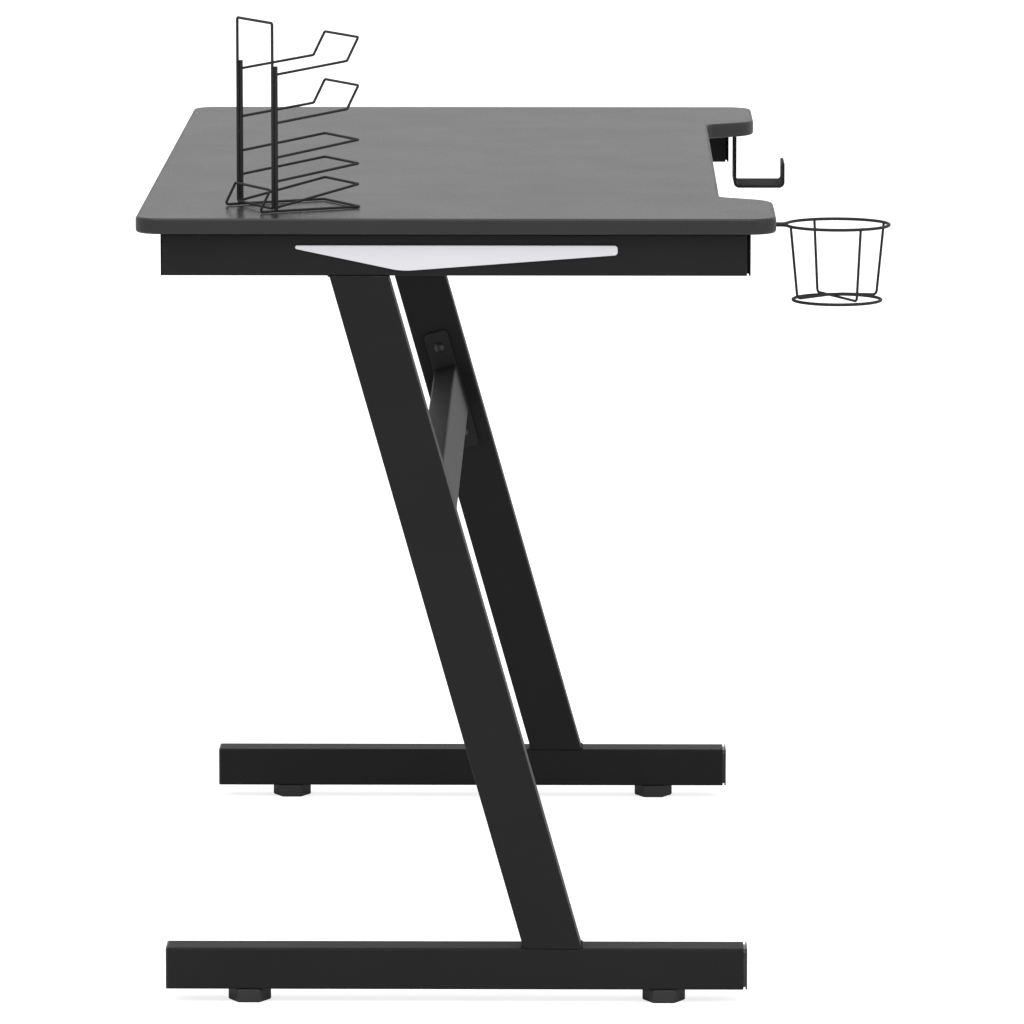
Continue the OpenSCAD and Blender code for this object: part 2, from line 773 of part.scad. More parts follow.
// White trim panel on the outer face of an upper rail, held by three pegs
module trim_panel(side) {
    color(trim_colour) placed()
        translate([side * (frame_outer_x + joint_gap), trim_shift, top_rail_z]) {
            translate([side < 0 ? -trim_thickness : 0, 0, 0])
                rotate([90, 0, 90]) linear_extrude(trim_thickness) trim_outline();
            for (share = trim_peg_shares) {
                translate([side * trim_thickness / 2, share * trim_length, trim_peg_z])
                    rotate([0, -side * 90, 0])
                        cylinder(h = trim_thickness / 2 + tube_wall + trim_peg_reach,
                                 d = trim_peg_diameter);
            }
        }
}

module trim_panel_left() { trim_panel(left); }
module trim_panel_right() { trim_panel(right); }

// Nuts welded inside the lower rails for the glide studs
module glide_nuts() {
    color(zinc_colour) placed() for (side = [left, right], end = [front, rear]) {
        translate([side * frame_x, end * glide_y, glide_height + tube_wall + joint_gap])
            hex_nut(stud_nut_flats, stud_nut_height, stud_diameter + 2 * thread_gap);
    }
}

// Stud of a levelling glide, with its head held inside the pad
module glide_stud(side, end) {
    color(zinc_colour) placed() translate([side * frame_x, end * glide_y, stud_head_z]) {
        cylinder(h = stud_head_height, d = stud_head_diameter);
        cylinder(h = stud_top - stud_head_z, d = stud_diameter);
    }
}

module glide_stud_front_left() { glide_stud(left, front); }
module glide_stud_rear_left() { glide_stud(left, rear); }
module glide_stud_front_right() { glide_stud(right, front); }
module glide_stud_rear_right() { glide_stud(right, rear); }

// Hexagonal pad of a levelling glide, with two of its flats towards the desk's ends
module glide_pad(side, end) {
    color(plastic_colour) placed() translate([side * frame_x, end * glide_y, 0]) difference() {
        rotate([0, 0, 30]) cylinder(h = pad_top, r = pad_corner_radius, $fn = 6);
        translate([0, 0, stud_head_z - head_gap])
            cylinder(h = stud_head_height + 2 * head_gap,
                     d = stud_head_diameter + 2 * thread_gap);
        translate([0, 0, stud_head_z])
            cylinder(h = pad_top, d = stud_diameter + 2 * thread_gap);
    }
}

module glide_pad_front_left() { glide_pad(left, front); }
module glide_pad_rear_left() { glide_pad(left, rear); }
module glide_pad_front_right() { glide_pad(right, front); }
module glide_pad_rear_right() { glide_pad(right, rear); }

// Quarter ring of the strip, round a centre, from one angle on
module strip_bend(y, z, from) {
    translate([y, z]) rotate(from) intersection() {
        difference() {
            circle(r = hook_bend + hook_thickness);
            circle(r = hook_bend);
        }
        square(hook_bend + 2 * hook_thickness);
    }
}

// Side view of the hook, with X as the desk's Y and Y as its height
module hook_profile() {
    bend = hook_bend + hook_thickness;
    top = board_bottom - joint_gap;
    translate([hook_back_y, top - hook_thickness])
        translate([hook_bend, 0]) square([hook_flange - hook_bend, hook_thickness]);
    strip_bend(hook_back_y + hook_bend, top - bend, 90);
    translate([hook_back_y - hook_thickness, hook_bottom + bend])
        square([hook_thickness, top - hook_bottom - 2 * bend]);
    strip_bend(hook_back_y - bend, hook_bottom + bend, 270);
    translate([hook_tip_y + bend, hook_bottom])
        square([hook_reach - 2 * bend, hook_thickness]);
    strip_bend(hook_tip_y + bend, hook_bottom + bend, 180);
    translate([hook_tip_y, hook_bottom + bend])
        square([hook_thickness, hook_tip_height - bend]);
}

// Headset hook, one bent strip with round corners at both free ends
module headset_hook() {
    color(metal_colour) placed() difference() {
        intersection() {
            translate([hook_x - hook_width / 2, 0, 0])
                rotate([90, 0, 90]) linear_extrude(hook_width) hook_profile();
            union() {
                translate([hook_x, (hook_back_y + hook_flange + hook_tip_y) / 2, 0])
                    translate([0, 0, hook_bottom + hook_tip_height])
                        linear_extrude(desk_height)
                            round_rect(hook_width, hook_flange + hook_reach, hook_corner);
                translate([hook_x, hook_back_y + desk_depth / 2,
                           hook_bottom + hook_tip_height - hook_drop])
                    rotate([90, 0, 0]) linear_extrude(desk_depth)
                        round_rect(hook_width, 2 * hook_drop, hook_corner);
            }
        }
        at_hook_screws() translate([0, 0, board_bottom - hook_thickness - overrun])
            cylinder(h = hook_thickness + 2 * overrun, d = screw_diameter + 2 * hole_gap);
    }
}

// Wood screws that hold the hook
module hook_screws() {
    color(wire_colour) placed()
        translate([0, 0, board_bottom - hook_thickness - 2 * joint_gap])
            at_hook_screws() wood_screw(hook_thickness + screw_depth);
}

// Upper ring of the cup holder: one wire that goes round and runs back to two screw eyes
module cup_top_ring() {
    color(wire_colour) placed() translate([cup_x, cup_y, cup_top_z]) {
        rotate([0, 0, 90 + stem_angle - ring_lap])
            rotate_extrude(angle = 360 - 2 * stem_angle + 2 * ring_lap)
                translate([cup_top_diameter / 2, 0]) circle(d = ring_wire, $fn = wire_facets);
        for (x = [0, 1]) {
            mirror([x, 0, 0]) {
                translate([stem_offset + stem_bend, stem_start, 0])
                    rotate([0, 0, 180]) rotate_extrude(angle = 90 - stem_angle)
                        translate([stem_bend, 0]) circle(d = ring_wire + bend_swell, $fn = wire_facets);
                wire_straight([stem_offset, stem_start - bend_lap, 0],
                              [stem_offset, stem_end + bend_lap, 0], ring_wire);
                translate([eye_x, stem_end, 0])
                    rotate([0, 0, 180 - 360 * eye_turn_share])
                        rotate_extrude(angle = 360 * eye_turn_share)
                            translate([eye_radius, 0])
                                circle(d = ring_wire + bend_swell, $fn = wire_facets);
            }
        }
    }
}

// Lower ring of the cup holder
module cup_bottom_ring() {
    color(wire_colour) placed() translate([cup_x, cup_y, cup_bottom_z])
        rotate_extrude() translate([cup_bottom_diameter / 2, 0]) circle(d = ring_wire, $fn = wire_facets);
}

// One bent wire of the cup holder's cradle, from the upper ring down and across
module cup_cradle(turn, points) {
    top = [cup_top_diameter / 2, 0, -ring_wire / 2 - joint_gap];
    half = concat([top, [cup_bottom_diameter / 2, 0, cradle_foot_z]], points);
    last = len(half) - 1;
    color(wire_colour) placed() translate([cup_x, cup_y, cup_top_z]) rotate([0, 0, turn])
        wire_path(concat(half, [for (i = [last:-1:0]) [-half[i][0], half[i][1], half[i][2]]]),
                  cradle_bend, cradle_wire);
}

// The lower wire runs straight across the ring, and the upper one bows over it
module cup_cradle_lower() { cup_cradle(cradle_turn, []); }
module cup_cradle_upper() {
    cup_cradle(cradle_turn - 90, [[cradle_bow, 0, cradle_foot_z + cradle_wire + joint_gap]]);
}

// Wood screws through the eyes of the cup holder
module cup_screws() {
    color(wire_colour) placed()
        translate([0, 0, board_bottom - ring_wire - 3 * joint_gap])
            at_cup_screws() wood_screw(ring_wire + screw_depth);
}

// Rack frame: X across the posts, -Y along the arms, Z up from under its base wires
module on_desktop() {
    placed() translate([rack_x, rack_y, rack_z]) rotate([0, 0, rack_turn]) children();
}

// Closed wire frame of the rack, standing on the base wires
module rack_frame() {
    low = rack_on_base + rack_frame_wire / 2;
    high = rack_height - rack_frame_wire / 2;
    color(wire_colour) on_desktop() wire_path([
        [-rack_half, rack_frame_back, low], [rack_half, rack_frame_back, low],
        [rack_half, rack_frame_back, high], [-rack_half, rack_frame_back, high]
    ], rack_bend, rack_frame_wire, closed = true);
}

// Thicker bar in front of one side of the frame, which carries the arms
module rack_bar(side) {
    color(wire_colour) on_desktop() translate([side * rack_half, 0, rack_on_base])
        cylinder(h = rack_bar_height - rack_on_base, d = rack_bar_wire);
}

module rack_bar_left() { rack_bar(left); }
module rack_bar_right() { rack_bar(right); }

// Upper arm: a wire loop that rises to a knee and turns up at its tip
module rack_hook(height) {
    half = [
        [rack_half, -rack_arm_start, height],
        [rack_half - rack_arm_taper, -rack_knee, height + rack_knee_rise],
        [rack_half - rack_arm_taper, -rack_reach, height + rack_tip_rise]
    ];
    color(wire_colour) on_desktop()
        wire_path(concat(half, [for (i = [2:-1:0]) [-half[i][0], half[i][1], half[i][2]]]),
                  rack_bend, rack_wire);
}

module rack_hook_upper() { rack_hook(rack_hook_upper_height); }
module rack_hook_lower() { rack_hook(rack_hook_lower_height); }

// Shelf arm: a flat wire loop that rises a little towards its tip
module rack_shelf(height, rise) {
    half = [
        [rack_half, -rack_arm_start, height],
        [rack_half - rack_arm_taper, -rack_reach, height + rise]
    ];
    color(wire_colour) on_desktop()
        wire_path(concat(half, [for (i = [1:-1:0]) [-half[i][0], half[i][1], half[i][2]]]),
                  rack_bend, rack_wire);
}

module rack_shelf_upper() { rack_shelf(rack_shelf_upper_height, rack_shelf_rise); }
module rack_shelf_middle() { rack_shelf(rack_shelf_middle_height, rack_shelf_rise); }
module rack_shelf_lower() { rack_shelf(rack_shelf_lower_height, rack_shelf_lower_rise); }

// Base wire: flat on the desktop, and up behind the frame as the rear foot
module rack_base() {
    half = [
        [rack_half, -rack_reach, rack_base_z],
        [rack_half, rack_foot_reach, rack_base_z],
        [rack_half, rack_foot_back, rack_foot_height]
    ];
    color(wire_colour) on_desktop()
        wire_path(concat(half, [for (i = [2:-1:0]) [-half[i][0], half[i][1], half[i][2]]]),
                  rack_bend, rack_wire, closed = true);
}

tabletop_board();
edge_band();
board_inserts();
tabletop_bolts();
top_rail_left();
top_rail_right();
leg_left();
leg_right();
bottom_rail_left();
bottom_rail_right();
cap_top_front_left();
cap_top_rear_left();
cap_top_front_right();
cap_top_rear_right();
cap_bottom_front_left();
cap_bottom_rear_left();
cap_bottom_front_right();
cap_bottom_rear_right();
crossbar();
crossbar_plate_left();
crossbar_plate_right();
crossbar_bolts();
leg_nuts();
trim_panel_left();
trim_panel_right();
glide_nuts();
glide_stud_front_left();
glide_stud_rear_left();
glide_stud_front_right();
glide_stud_rear_right();
glide_pad_front_left();
glide_pad_rear_left();
glide_pad_front_right();
glide_pad_rear_right();
headset_hook();
hook_screws();
cup_top_ring();
cup_bottom_ring();
cup_cradle_lower();
cup_cradle_upper();
cup_screws();
rack_frame();
rack_bar_left();
rack_bar_right();
rack_hook_upper();
rack_hook_lower();
rack_shelf_upper();
rack_shelf_middle();
rack_shelf_lower();
rack_base();
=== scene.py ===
"""Gaming desk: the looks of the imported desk, its bent wires, plastic parts, finishes and studio."""

import logging
import math
from collections.abc import Iterable, Sequence
from dataclasses import dataclass, field
from enum import Enum
from functools import cached_property

import bmesh
import bpy
from mathutils import Matrix, Vector


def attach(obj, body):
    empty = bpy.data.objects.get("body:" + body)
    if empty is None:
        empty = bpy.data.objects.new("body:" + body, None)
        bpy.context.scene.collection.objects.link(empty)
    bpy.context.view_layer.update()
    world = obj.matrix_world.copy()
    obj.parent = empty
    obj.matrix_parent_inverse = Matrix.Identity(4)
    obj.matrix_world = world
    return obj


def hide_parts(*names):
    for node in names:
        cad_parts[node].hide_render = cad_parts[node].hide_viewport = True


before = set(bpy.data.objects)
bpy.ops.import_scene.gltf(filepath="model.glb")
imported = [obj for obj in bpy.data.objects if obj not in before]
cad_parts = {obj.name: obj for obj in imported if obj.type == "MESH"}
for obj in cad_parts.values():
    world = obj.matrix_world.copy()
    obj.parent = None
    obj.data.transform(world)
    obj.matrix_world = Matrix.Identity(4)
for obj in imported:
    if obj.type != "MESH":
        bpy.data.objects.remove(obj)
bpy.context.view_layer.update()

Node = bpy.types.Node
Outputs = bpy.types.NodeOutputs
Piece = bpy.types.Object
Socket = bpy.types.NodeSocket
Tree = bpy.types.NodeTree
Pair = tuple[float, float]
Triple = tuple[float, float, float]

LOG = logging.getLogger("gaming_desk")
MM = 0.001
DESK_Y = 55.25
FLOAT, VECTOR, GEOMETRY = "NodeSocketFloat", "NodeSocketVector", "NodeSocketGeometry"
SOCKETS = {float: FLOAT, int: "NodeSocketInt"}
SIGNS = (-1, 1)
DUST_COLOUR = (0.32, 0.31, 0.3, 1.0)
WHITE = (1.0, 1.0, 1.0, 1.0)


class Sign(Enum):
    """Base of the two ends of an axis, each as its sign."""

    @property
    def word(self) -> str:
        """Name of the end as node names spell it."""
        return self.name.lower()


class Side(Sign):
    """The two ends of the desk on X."""

    LEFT = -1
    RIGHT = 1


class End(Sign):
    """The two ends of a rail on Y."""

    FRONT = -1
    REAR = 1


class Body(Enum):
    """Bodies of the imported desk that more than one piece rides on."""

    DESK = "desk"
    RACK = "rack"


# Node trees


def spelled(values: dict[str, object]) -> dict[str, object]:
    """Spells the keys of named values as sockets are named: wire_radius becomes Wire Radius."""
    return {key.replace("_", " ").title(): value for key, value in values.items()}


@dataclass
class NodeSheet:
    """Adds and joins nodes in one node tree."""

    tree: Tree

    @classmethod
    def group(cls, title: str, kind: str, inputs: dict[str, object], outputs: Sequence[str],
              result: str = FLOAT) -> tuple["NodeSheet", Outputs]:
        """Starts a node group with its named inputs and outputs.

        Args:
            title: Name of the group.
            kind: Blender's type name of the tree.
            inputs: Default of each input, or its socket type where it has none.
            outputs: Names of the outputs.
            result: Socket type of the outputs.

        Returns:
            The group's sheet, and the sockets that bring in its inputs.
        """
        tree = bpy.data.node_groups.new(title, kind)
        for name, given in inputs.items():
            sort = SOCKETS.get(type(given), given)
            socket = tree.interface.new_socket(name, in_out="INPUT", socket_type=sort)
            if sort != given:
                socket.default_value = given
        for name in outputs:
            tree.interface.new_socket(name, in_out="OUTPUT", socket_type=result)
        sheet = cls(tree)
        return sheet, sheet.add("NodeGroupInput").outputs

    def fill(self, node: Node, feeds: dict[str | int, object]) -> None:
        """Feeds inputs of a node.

        Args:
            node: The node.
            feeds: An output socket or a plain value for each input, by name or number.
        """
        for key, value in feeds.items():
            if isinstance(value, Socket):
                self.tree.links.new(value, node.inputs[key])
            else:
                node.inputs[key].default_value = value

    def add(self, kind: str, feeds: dict[str | int, object] | None = None, **settings: object) -> Node:
        """Adds a node.

        Args:
            kind: Blender's type name of the node.
            feeds: What its inputs get, as in fill.
            settings: Properties to set on it.

        Returns:
            The new node.
        """
        node = self.tree.nodes.new(kind)
        for name, value in settings.items():
            setattr(node, name, value)
        self.fill(node, feeds or {})
        return node

    def step(self, kind: str, first: object, feeds: dict[str | int, object] | None = None,
             **settings: object) -> Socket:
        """Adds a node that works on its first input, and returns its first output."""
        return self.add(kind, {0: first, **(feeds or {})}, **settings).outputs[0]

    def math(self, operation: str, first: object, second: object = 0.5, clamp: bool = False) -> Socket:
        """Adds a Math node, clamped to between 0 and 1 on request."""
        return self.step("ShaderNodeMath", first, {1: second}, operation=operation, use_clamp=clamp)

    def total(self, *terms: tuple[Socket, float]) -> Socket:
        """Adds up masks by their weights.

        Args:
            terms: Each mask with its weight.

        Returns:
            The sum, between 0 and 1.
        """
        parts = [self.math("MULTIPLY", mask, weight) for mask, weight in terms]
        result = parts[0]
        for part in parts[1:]:
            result = self.math("ADD", result, part, clamp=True)
        return result

    def ramp(self, value: object, low: float, high: float, start: float = 0.0, end: float = 1.0) -> Socket:
        """Maps a value smoothly from the range low to high to the range start to end."""
        return self.step("ShaderNodeMapRange", value, {1: low, 2: high, 3: start, 4: end},
                         interpolation_type="SMOOTHSTEP")

    def blend(self, factor: object, first: object, second: object) -> Socket:
        """Mixes two colours, by the share of the second."""
        return self.add("ShaderNodeMix", {"Factor": factor, 6: first, 7: second}, data_type="RGBA").outputs[2]

    def noise(self, vector: Socket, scale: object, detail: float, rough: float) -> Socket:
        """Adds a Noise texture of so many waves in a metre, octaves, and weight of the finer ones."""
        feeds = {"Vector": vector, "Scale": scale, "Detail": detail, "Roughness": rough}
        return self.add("ShaderNodeTexNoise", feeds).outputs["Fac"]


class SurfaceEffects:
    """Shader node groups that the finishes share, each built once."""

    def start(self, title: str, outputs: Sequence[str], **inputs: object) -> tuple[NodeSheet, Outputs]:
        """Starts a shader group that takes coordinates and the given inputs."""
        return NodeSheet.group(title, "ShaderNodeTree", {"Vector": VECTOR, **spelled(inputs)}, outputs)

    @cached_property
    def grain(self) -> Tree:
        """Fine texture of a coating: soft dimples with finer grit on them."""
        sheet, given = self.start("fine_grain", ("Height", "Tone"), dimples=900.0, grit=4200.0, grit_share=0.35)
        dimples = sheet.noise(given["Vector"], given["Dimples"], 1.0, 0.4)
        grit = sheet.noise(given["Vector"], given["Grit"], 2.0, 0.6)
        height = sheet.math("ADD", dimples, sheet.math("MULTIPLY", grit, given["Grit Share"]))
        sheet.add("NodeGroupOutput", {"Height": height, "Tone": sheet.ramp(grit, 0.35, 0.7)})
        return sheet.tree

    @cached_property
    def edges(self) -> Tree:
        """Broken mask along the edges of a piece, where handling polishes or thins a coating."""
        sheet, given = self.start("edge_handling", ("Mask",), width=0.0012, breaks=60.0)
        bevel = sheet.add("ShaderNodeBevel", {"Radius": given["Width"]}, samples=4)
        plain = sheet.add("ShaderNodeNewGeometry")
        bend = sheet.add("ShaderNodeVectorMath", {0: bevel.outputs["Normal"], 1: plain.outputs["Normal"]},
                         operation="DOT_PRODUCT")
        edge = sheet.ramp(bend.outputs["Value"], 0.995, 0.85)
        breaks = sheet.noise(given["Vector"], given["Breaks"], 4.0, 0.65)
        broken = sheet.math("MULTIPLY", edge, sheet.ramp(breaks, 0.35, 0.65), clamp=True)
        sheet.add("NodeGroupOutput", {"Mask": broken})
        return sheet.tree

    @cached_property
    def patches(self) -> Tree:
        """Broad soft patches and stretched smears, for uneven sheen and colour."""
        sheet, given = self.start("soft_patches", ("Mask", "Smears"), scale=9.0)
        broad = sheet.noise(given["Vector"], given["Scale"], 3.0, 0.55)
        stretch = sheet.step("ShaderNodeMapping", given["Vector"],
                             {"Rotation": (0.0, 0.0, 0.5), "Scale": (1.0, 0.25, 1.0)})
        smears = sheet.noise(stretch, sheet.math("MULTIPLY", given["Scale"], 6.0), 4.0, 0.6)
        sheet.add("NodeGroupOutput", {"Mask": sheet.ramp(broad, 0.3, 0.7), "Smears": sheet.ramp(smears, 0.45, 0.75)})
        return sheet.tree

    @cached_property
    def settled(self) -> Tree:
        """Thin dust that settles on faces that look up."""
        sheet, given = self.start("settled_dust", ("Mask",), normal=VECTOR, specks=700.0)
        split = sheet.add("ShaderNodeSeparateXYZ", {0: given["Normal"]})
        up = sheet.ramp(split.outputs["Z"], 0.5, 1.0)
        specks = sheet.ramp(sheet.noise(given["Vector"], given["Specks"], 3.0, 0.7), 0.5, 0.8)
        drift = sheet.ramp(sheet.noise(given["Vector"], 14.0, 2.0, 0.5), 0.35, 0.7)
        dust = sheet.math("MULTIPLY", up, sheet.math("MULTIPLY", specks, drift), clamp=True)
        sheet.add("NodeGroupOutput", {"Mask": dust})
        return sheet.tree


EFFECTS = SurfaceEffects()


@dataclass(frozen=True)
class Finish:
    """A finish of one of the desk's materials, as a procedural shader.

    Attributes:
        title: Name of the material.
        slot: Material slot; not used.
        colour: Linear base colour.
        roughness: Mean roughness.
        specular: Specular level.
        metallic: Share of bare metal.
        spread: Change of roughness over patches and grain.
        dimples: Dimples in a metre.
        grit: Grit grains in a metre.
        relief: Height of the grain in metres.
        tone: Change of brightness in the grain.
        patches: Broad patches in a metre.
        wear: Brightening along edges.
        wear_width: Width of the worn edge in metres.
        dust: Share of dust on faces that look up.
        rounding: Radius by which sharp edges are softened in the shading.
    """

    title: str
    slot: str
    colour: Triple
    roughness: float
    specular: float = 0.5
    metallic: float = 0.0
    spread: float = 0.06
    dimples: float = 900.0
    grit: float = 4200.0
    relief: float = 0.00003
    tone: float = 0.12
    patches: float = 9.0
    wear: float = 0.6
    wear_width: float = 0.0012
    dust: float = 0.05
    rounding: float = 0.0004

    def material(self) -> bpy.types.Material:
        """Returns the finish's material and builds it the first time."""
        name = f"{self.title}_finish"
        made = bpy.data.materials.get(name)
        if made is None:
            made = bpy.data.materials.new(name)
            made.use_nodes = True
            self.dress(NodeSheet(made.node_tree), made.node_tree.nodes["Principled BSDF"])
        return made

    def shade(self, share: float, lift: float = 0.0) -> tuple[float, ...]:
        """Returns the finish's colour times a share, a little lifted."""
        return (*(min(1.0, part * share + lift) for part in self.colour), 1.0)

    def effect(self, sheet: NodeSheet, group: Tree, vector: Socket, **values: object) -> Outputs:
        """Places a shared effect with this finish's values, and returns its masks."""
        return sheet.add("ShaderNodeGroup", {"Vector": vector, **spelled(values)}, node_tree=group).outputs

    def dress(self, sheet: NodeSheet, shader: Node) -> None:
        """Fills the material.

        Args:
            sheet: The material's sheet.
            shader: Its Principled BSDF.
        """
        source = sheet.add("ShaderNodeTexCoord").outputs
        grain = self.effect(sheet, EFFECTS.grain, source["Object"], dimples=self.dimples, grit=self.grit)
        patches = self.effect(sheet, EFFECTS.patches, source["Object"], scale=self.patches)
        edges = self.effect(sheet, EFFECTS.edges, source["Object"], width=self.wear_width)["Mask"]
        dust = self.effect(sheet, EFFECTS.settled, source["Object"], normal=source["Normal"])["Mask"]
        colour = self.colouring(sheet, grain["Tone"], patches["Mask"])
        worn = self.shade(1 + self.wear, 0.01 * self.wear)
        colour = sheet.blend(sheet.math("MULTIPLY", edges, 0.8), colour, worn)
        colour = sheet.blend(sheet.math("MULTIPLY", dust, self.dust), colour, DUST_COLOUR)
        uneven = sheet.total((grain["Tone"], 0.3), (patches["Mask"], 0.45), (patches["Smears"], 0.25))
        rough = sheet.ramp(uneven, 0.0, 1.0, self.roughness - self.spread, self.roughness + self.spread)
        rough = sheet.math("SUBTRACT", rough, sheet.math("MULTIPLY", edges, 0.1))
        rough = sheet.math("ADD", rough, sheet.math("MULTIPLY", dust, 0.3), clamp=True)
        bevel = sheet.add("ShaderNodeBevel", {"Radius": self.rounding}, samples=4)
        bump = sheet.add("ShaderNodeBump", {"Strength": 1.0, "Distance": self.relief, "Height": grain["Height"],
                                            "Normal": bevel.outputs["Normal"]})
        sheet.fill(shader, {"Base Color": colour, "Roughness": rough, "Metallic": self.metallic,
                            "Specular IOR Level": self.specular, "Normal": bump.outputs["Normal"]})

    def colouring(self, sheet: NodeSheet, tone: Socket, patches: Socket) -> Socket:
        """Adds the base colour, varied by the masks of the grain and of the patches."""
        share = sheet.total((tone, 0.6), (patches, 0.4))
        return sheet.blend(share, self.shade(1 - self.tone), self.shade(1 + self.tone))


@dataclass(frozen=True)
class SpangledZinc(Finish):
    """Zinc plating, with the angular patches of its crystals."""

    crystals: float = 900.0

    def colouring(self, sheet: NodeSheet, tone: Socket, patches: Socket) -> Socket:
        """Adds the zinc's colour with its crystals.

        Args:
            sheet: The material's sheet.
            tone: Mask of the grain.
            patches: Mask of the patches.

        Returns:
            The colour socket.
        """
        place = sheet.add("ShaderNodeTexCoord").outputs["Object"]
        cells = sheet.add("ShaderNodeTexVoronoi", {"Vector": place, "Scale": self.crystals})
        split = sheet.step("ShaderNodeSeparateColor", cells.outputs["Color"])
        red, green, blue, solid = self.shade(0.78)
        plain = super().colouring(sheet, tone, patches)
        return sheet.blend(sheet.math("MULTIPLY", split, 0.6), plain, (red, green, blue * 1.08, solid))


class Finishes(Enum):
    """Every finish on the desk."""

    FRAME = Finish("frame_powder_coat", "frame_metal", (0.0175, 0.0175, 0.018), 0.46, specular=0.1, spread=0.015,
                   dimples=1100.0, grit=5200.0, relief=0.00005, wear=1.6, wear_width=0.0014, rounding=0.0008)
    CROSSBAR = Finish("crossbar_powder_coat", "frame_metal", (0.022, 0.022, 0.0226), 0.46, specular=0.125,
                      spread=0.015, dimples=1100.0, grit=5200.0, relief=0.00005, wear=0.8, wear_width=0.001,
                      rounding=0.0008)
    HOOK = Finish("hook_powder_coat", "frame_metal", (0.018, 0.018, 0.0185), 0.62, specular=0.06, spread=0.03,
                  dimples=1100.0, grit=5200.0, relief=0.00005, wear=1.2, wear_width=0.001, rounding=0.0006)
    LAMINATE = Finish("desktop_laminate", "laminate", (0.026, 0.026, 0.0265), 0.26, specular=0.11, spread=0.007,
                      dimples=1700.0, grit=6500.0, relief=0.000035, tone=0.1, patches=5.0, wear=0.3, dust=0.04)
    BAND = Finish("desktop_edge_band", "band", (0.0305, 0.0305, 0.031), 0.38, specular=0.25, dimples=1400.0,
                  grit=5200.0, relief=0.00002, patches=12.0, wear=0.8, wear_width=0.0009, rounding=0.0003)
    WIRE = Finish("wire_coating", "wire", (0.024, 0.024, 0.0244), 0.55, specular=0.16, dimples=1500.0,
                  grit=6000.0, relief=0.00002, patches=25.0, wear=0.5, wear_width=0.0004, rounding=0.0002)
    BLACK_STEEL = Finish("black_steel", "black_steel", (0.022, 0.022, 0.023), 0.36, dimples=2200.0,
                         grit=7000.0, relief=0.00001, wear=1.5, wear_width=0.0004, rounding=0.0002)
    ZINC = SpangledZinc("zinc_steel", "zinc_steel", (0.46, 0.47, 0.48), 0.34, metallic=1.0, dimples=1800.0,
                        grit=7000.0, relief=0.00001, tone=0.18, wear=0.2, dust=0.0, rounding=0.0002)
    CAP = Finish("rail_cap_plastic", "cap_plastic", (0.02, 0.02, 0.021), 0.24, specular=0.55, relief=0.00001,
                 wear=0.5, wear_width=0.0006, rounding=0.0003)
    # Darker, matt copy of the cap plastic: its dark colour is painted shade for the upper caps in the desktop's
    # shadow.
    UPPER_CAP = Finish("upper_cap_plastic", "cap_plastic", (0.003, 0.003, 0.0032), 0.5, specular=0.08,
                       relief=0.00001, wear=0.3, wear_width=0.0006, rounding=0.0003)
    GLIDE = Finish("glide_plastic", "glide_plastic", (0.027, 0.027, 0.0275), 0.45, specular=0.35, dimples=1200.0,
                   grit=3800.0, wear=0.9, wear_width=0.0008, rounding=0.0003)
    TRIM = Finish("trim_plastic", "trim_plastic", (0.78, 0.773, 0.815), 0.36, specular=0.4, dimples=700.0,
                  grit=3600.0, relief=0.00001, tone=0.015, wear=0.05, wear_width=0.0007, dust=0.02)

    def put_on(self, piece: Piece) -> None:
        """Sets this finish on all slots of a piece or CAD node."""
        made = self.value.material()
        if not piece.material_slots:
            piece.data.materials.append(made)
        for slot in piece.material_slots:
            slot.material = made


# Geometry trees


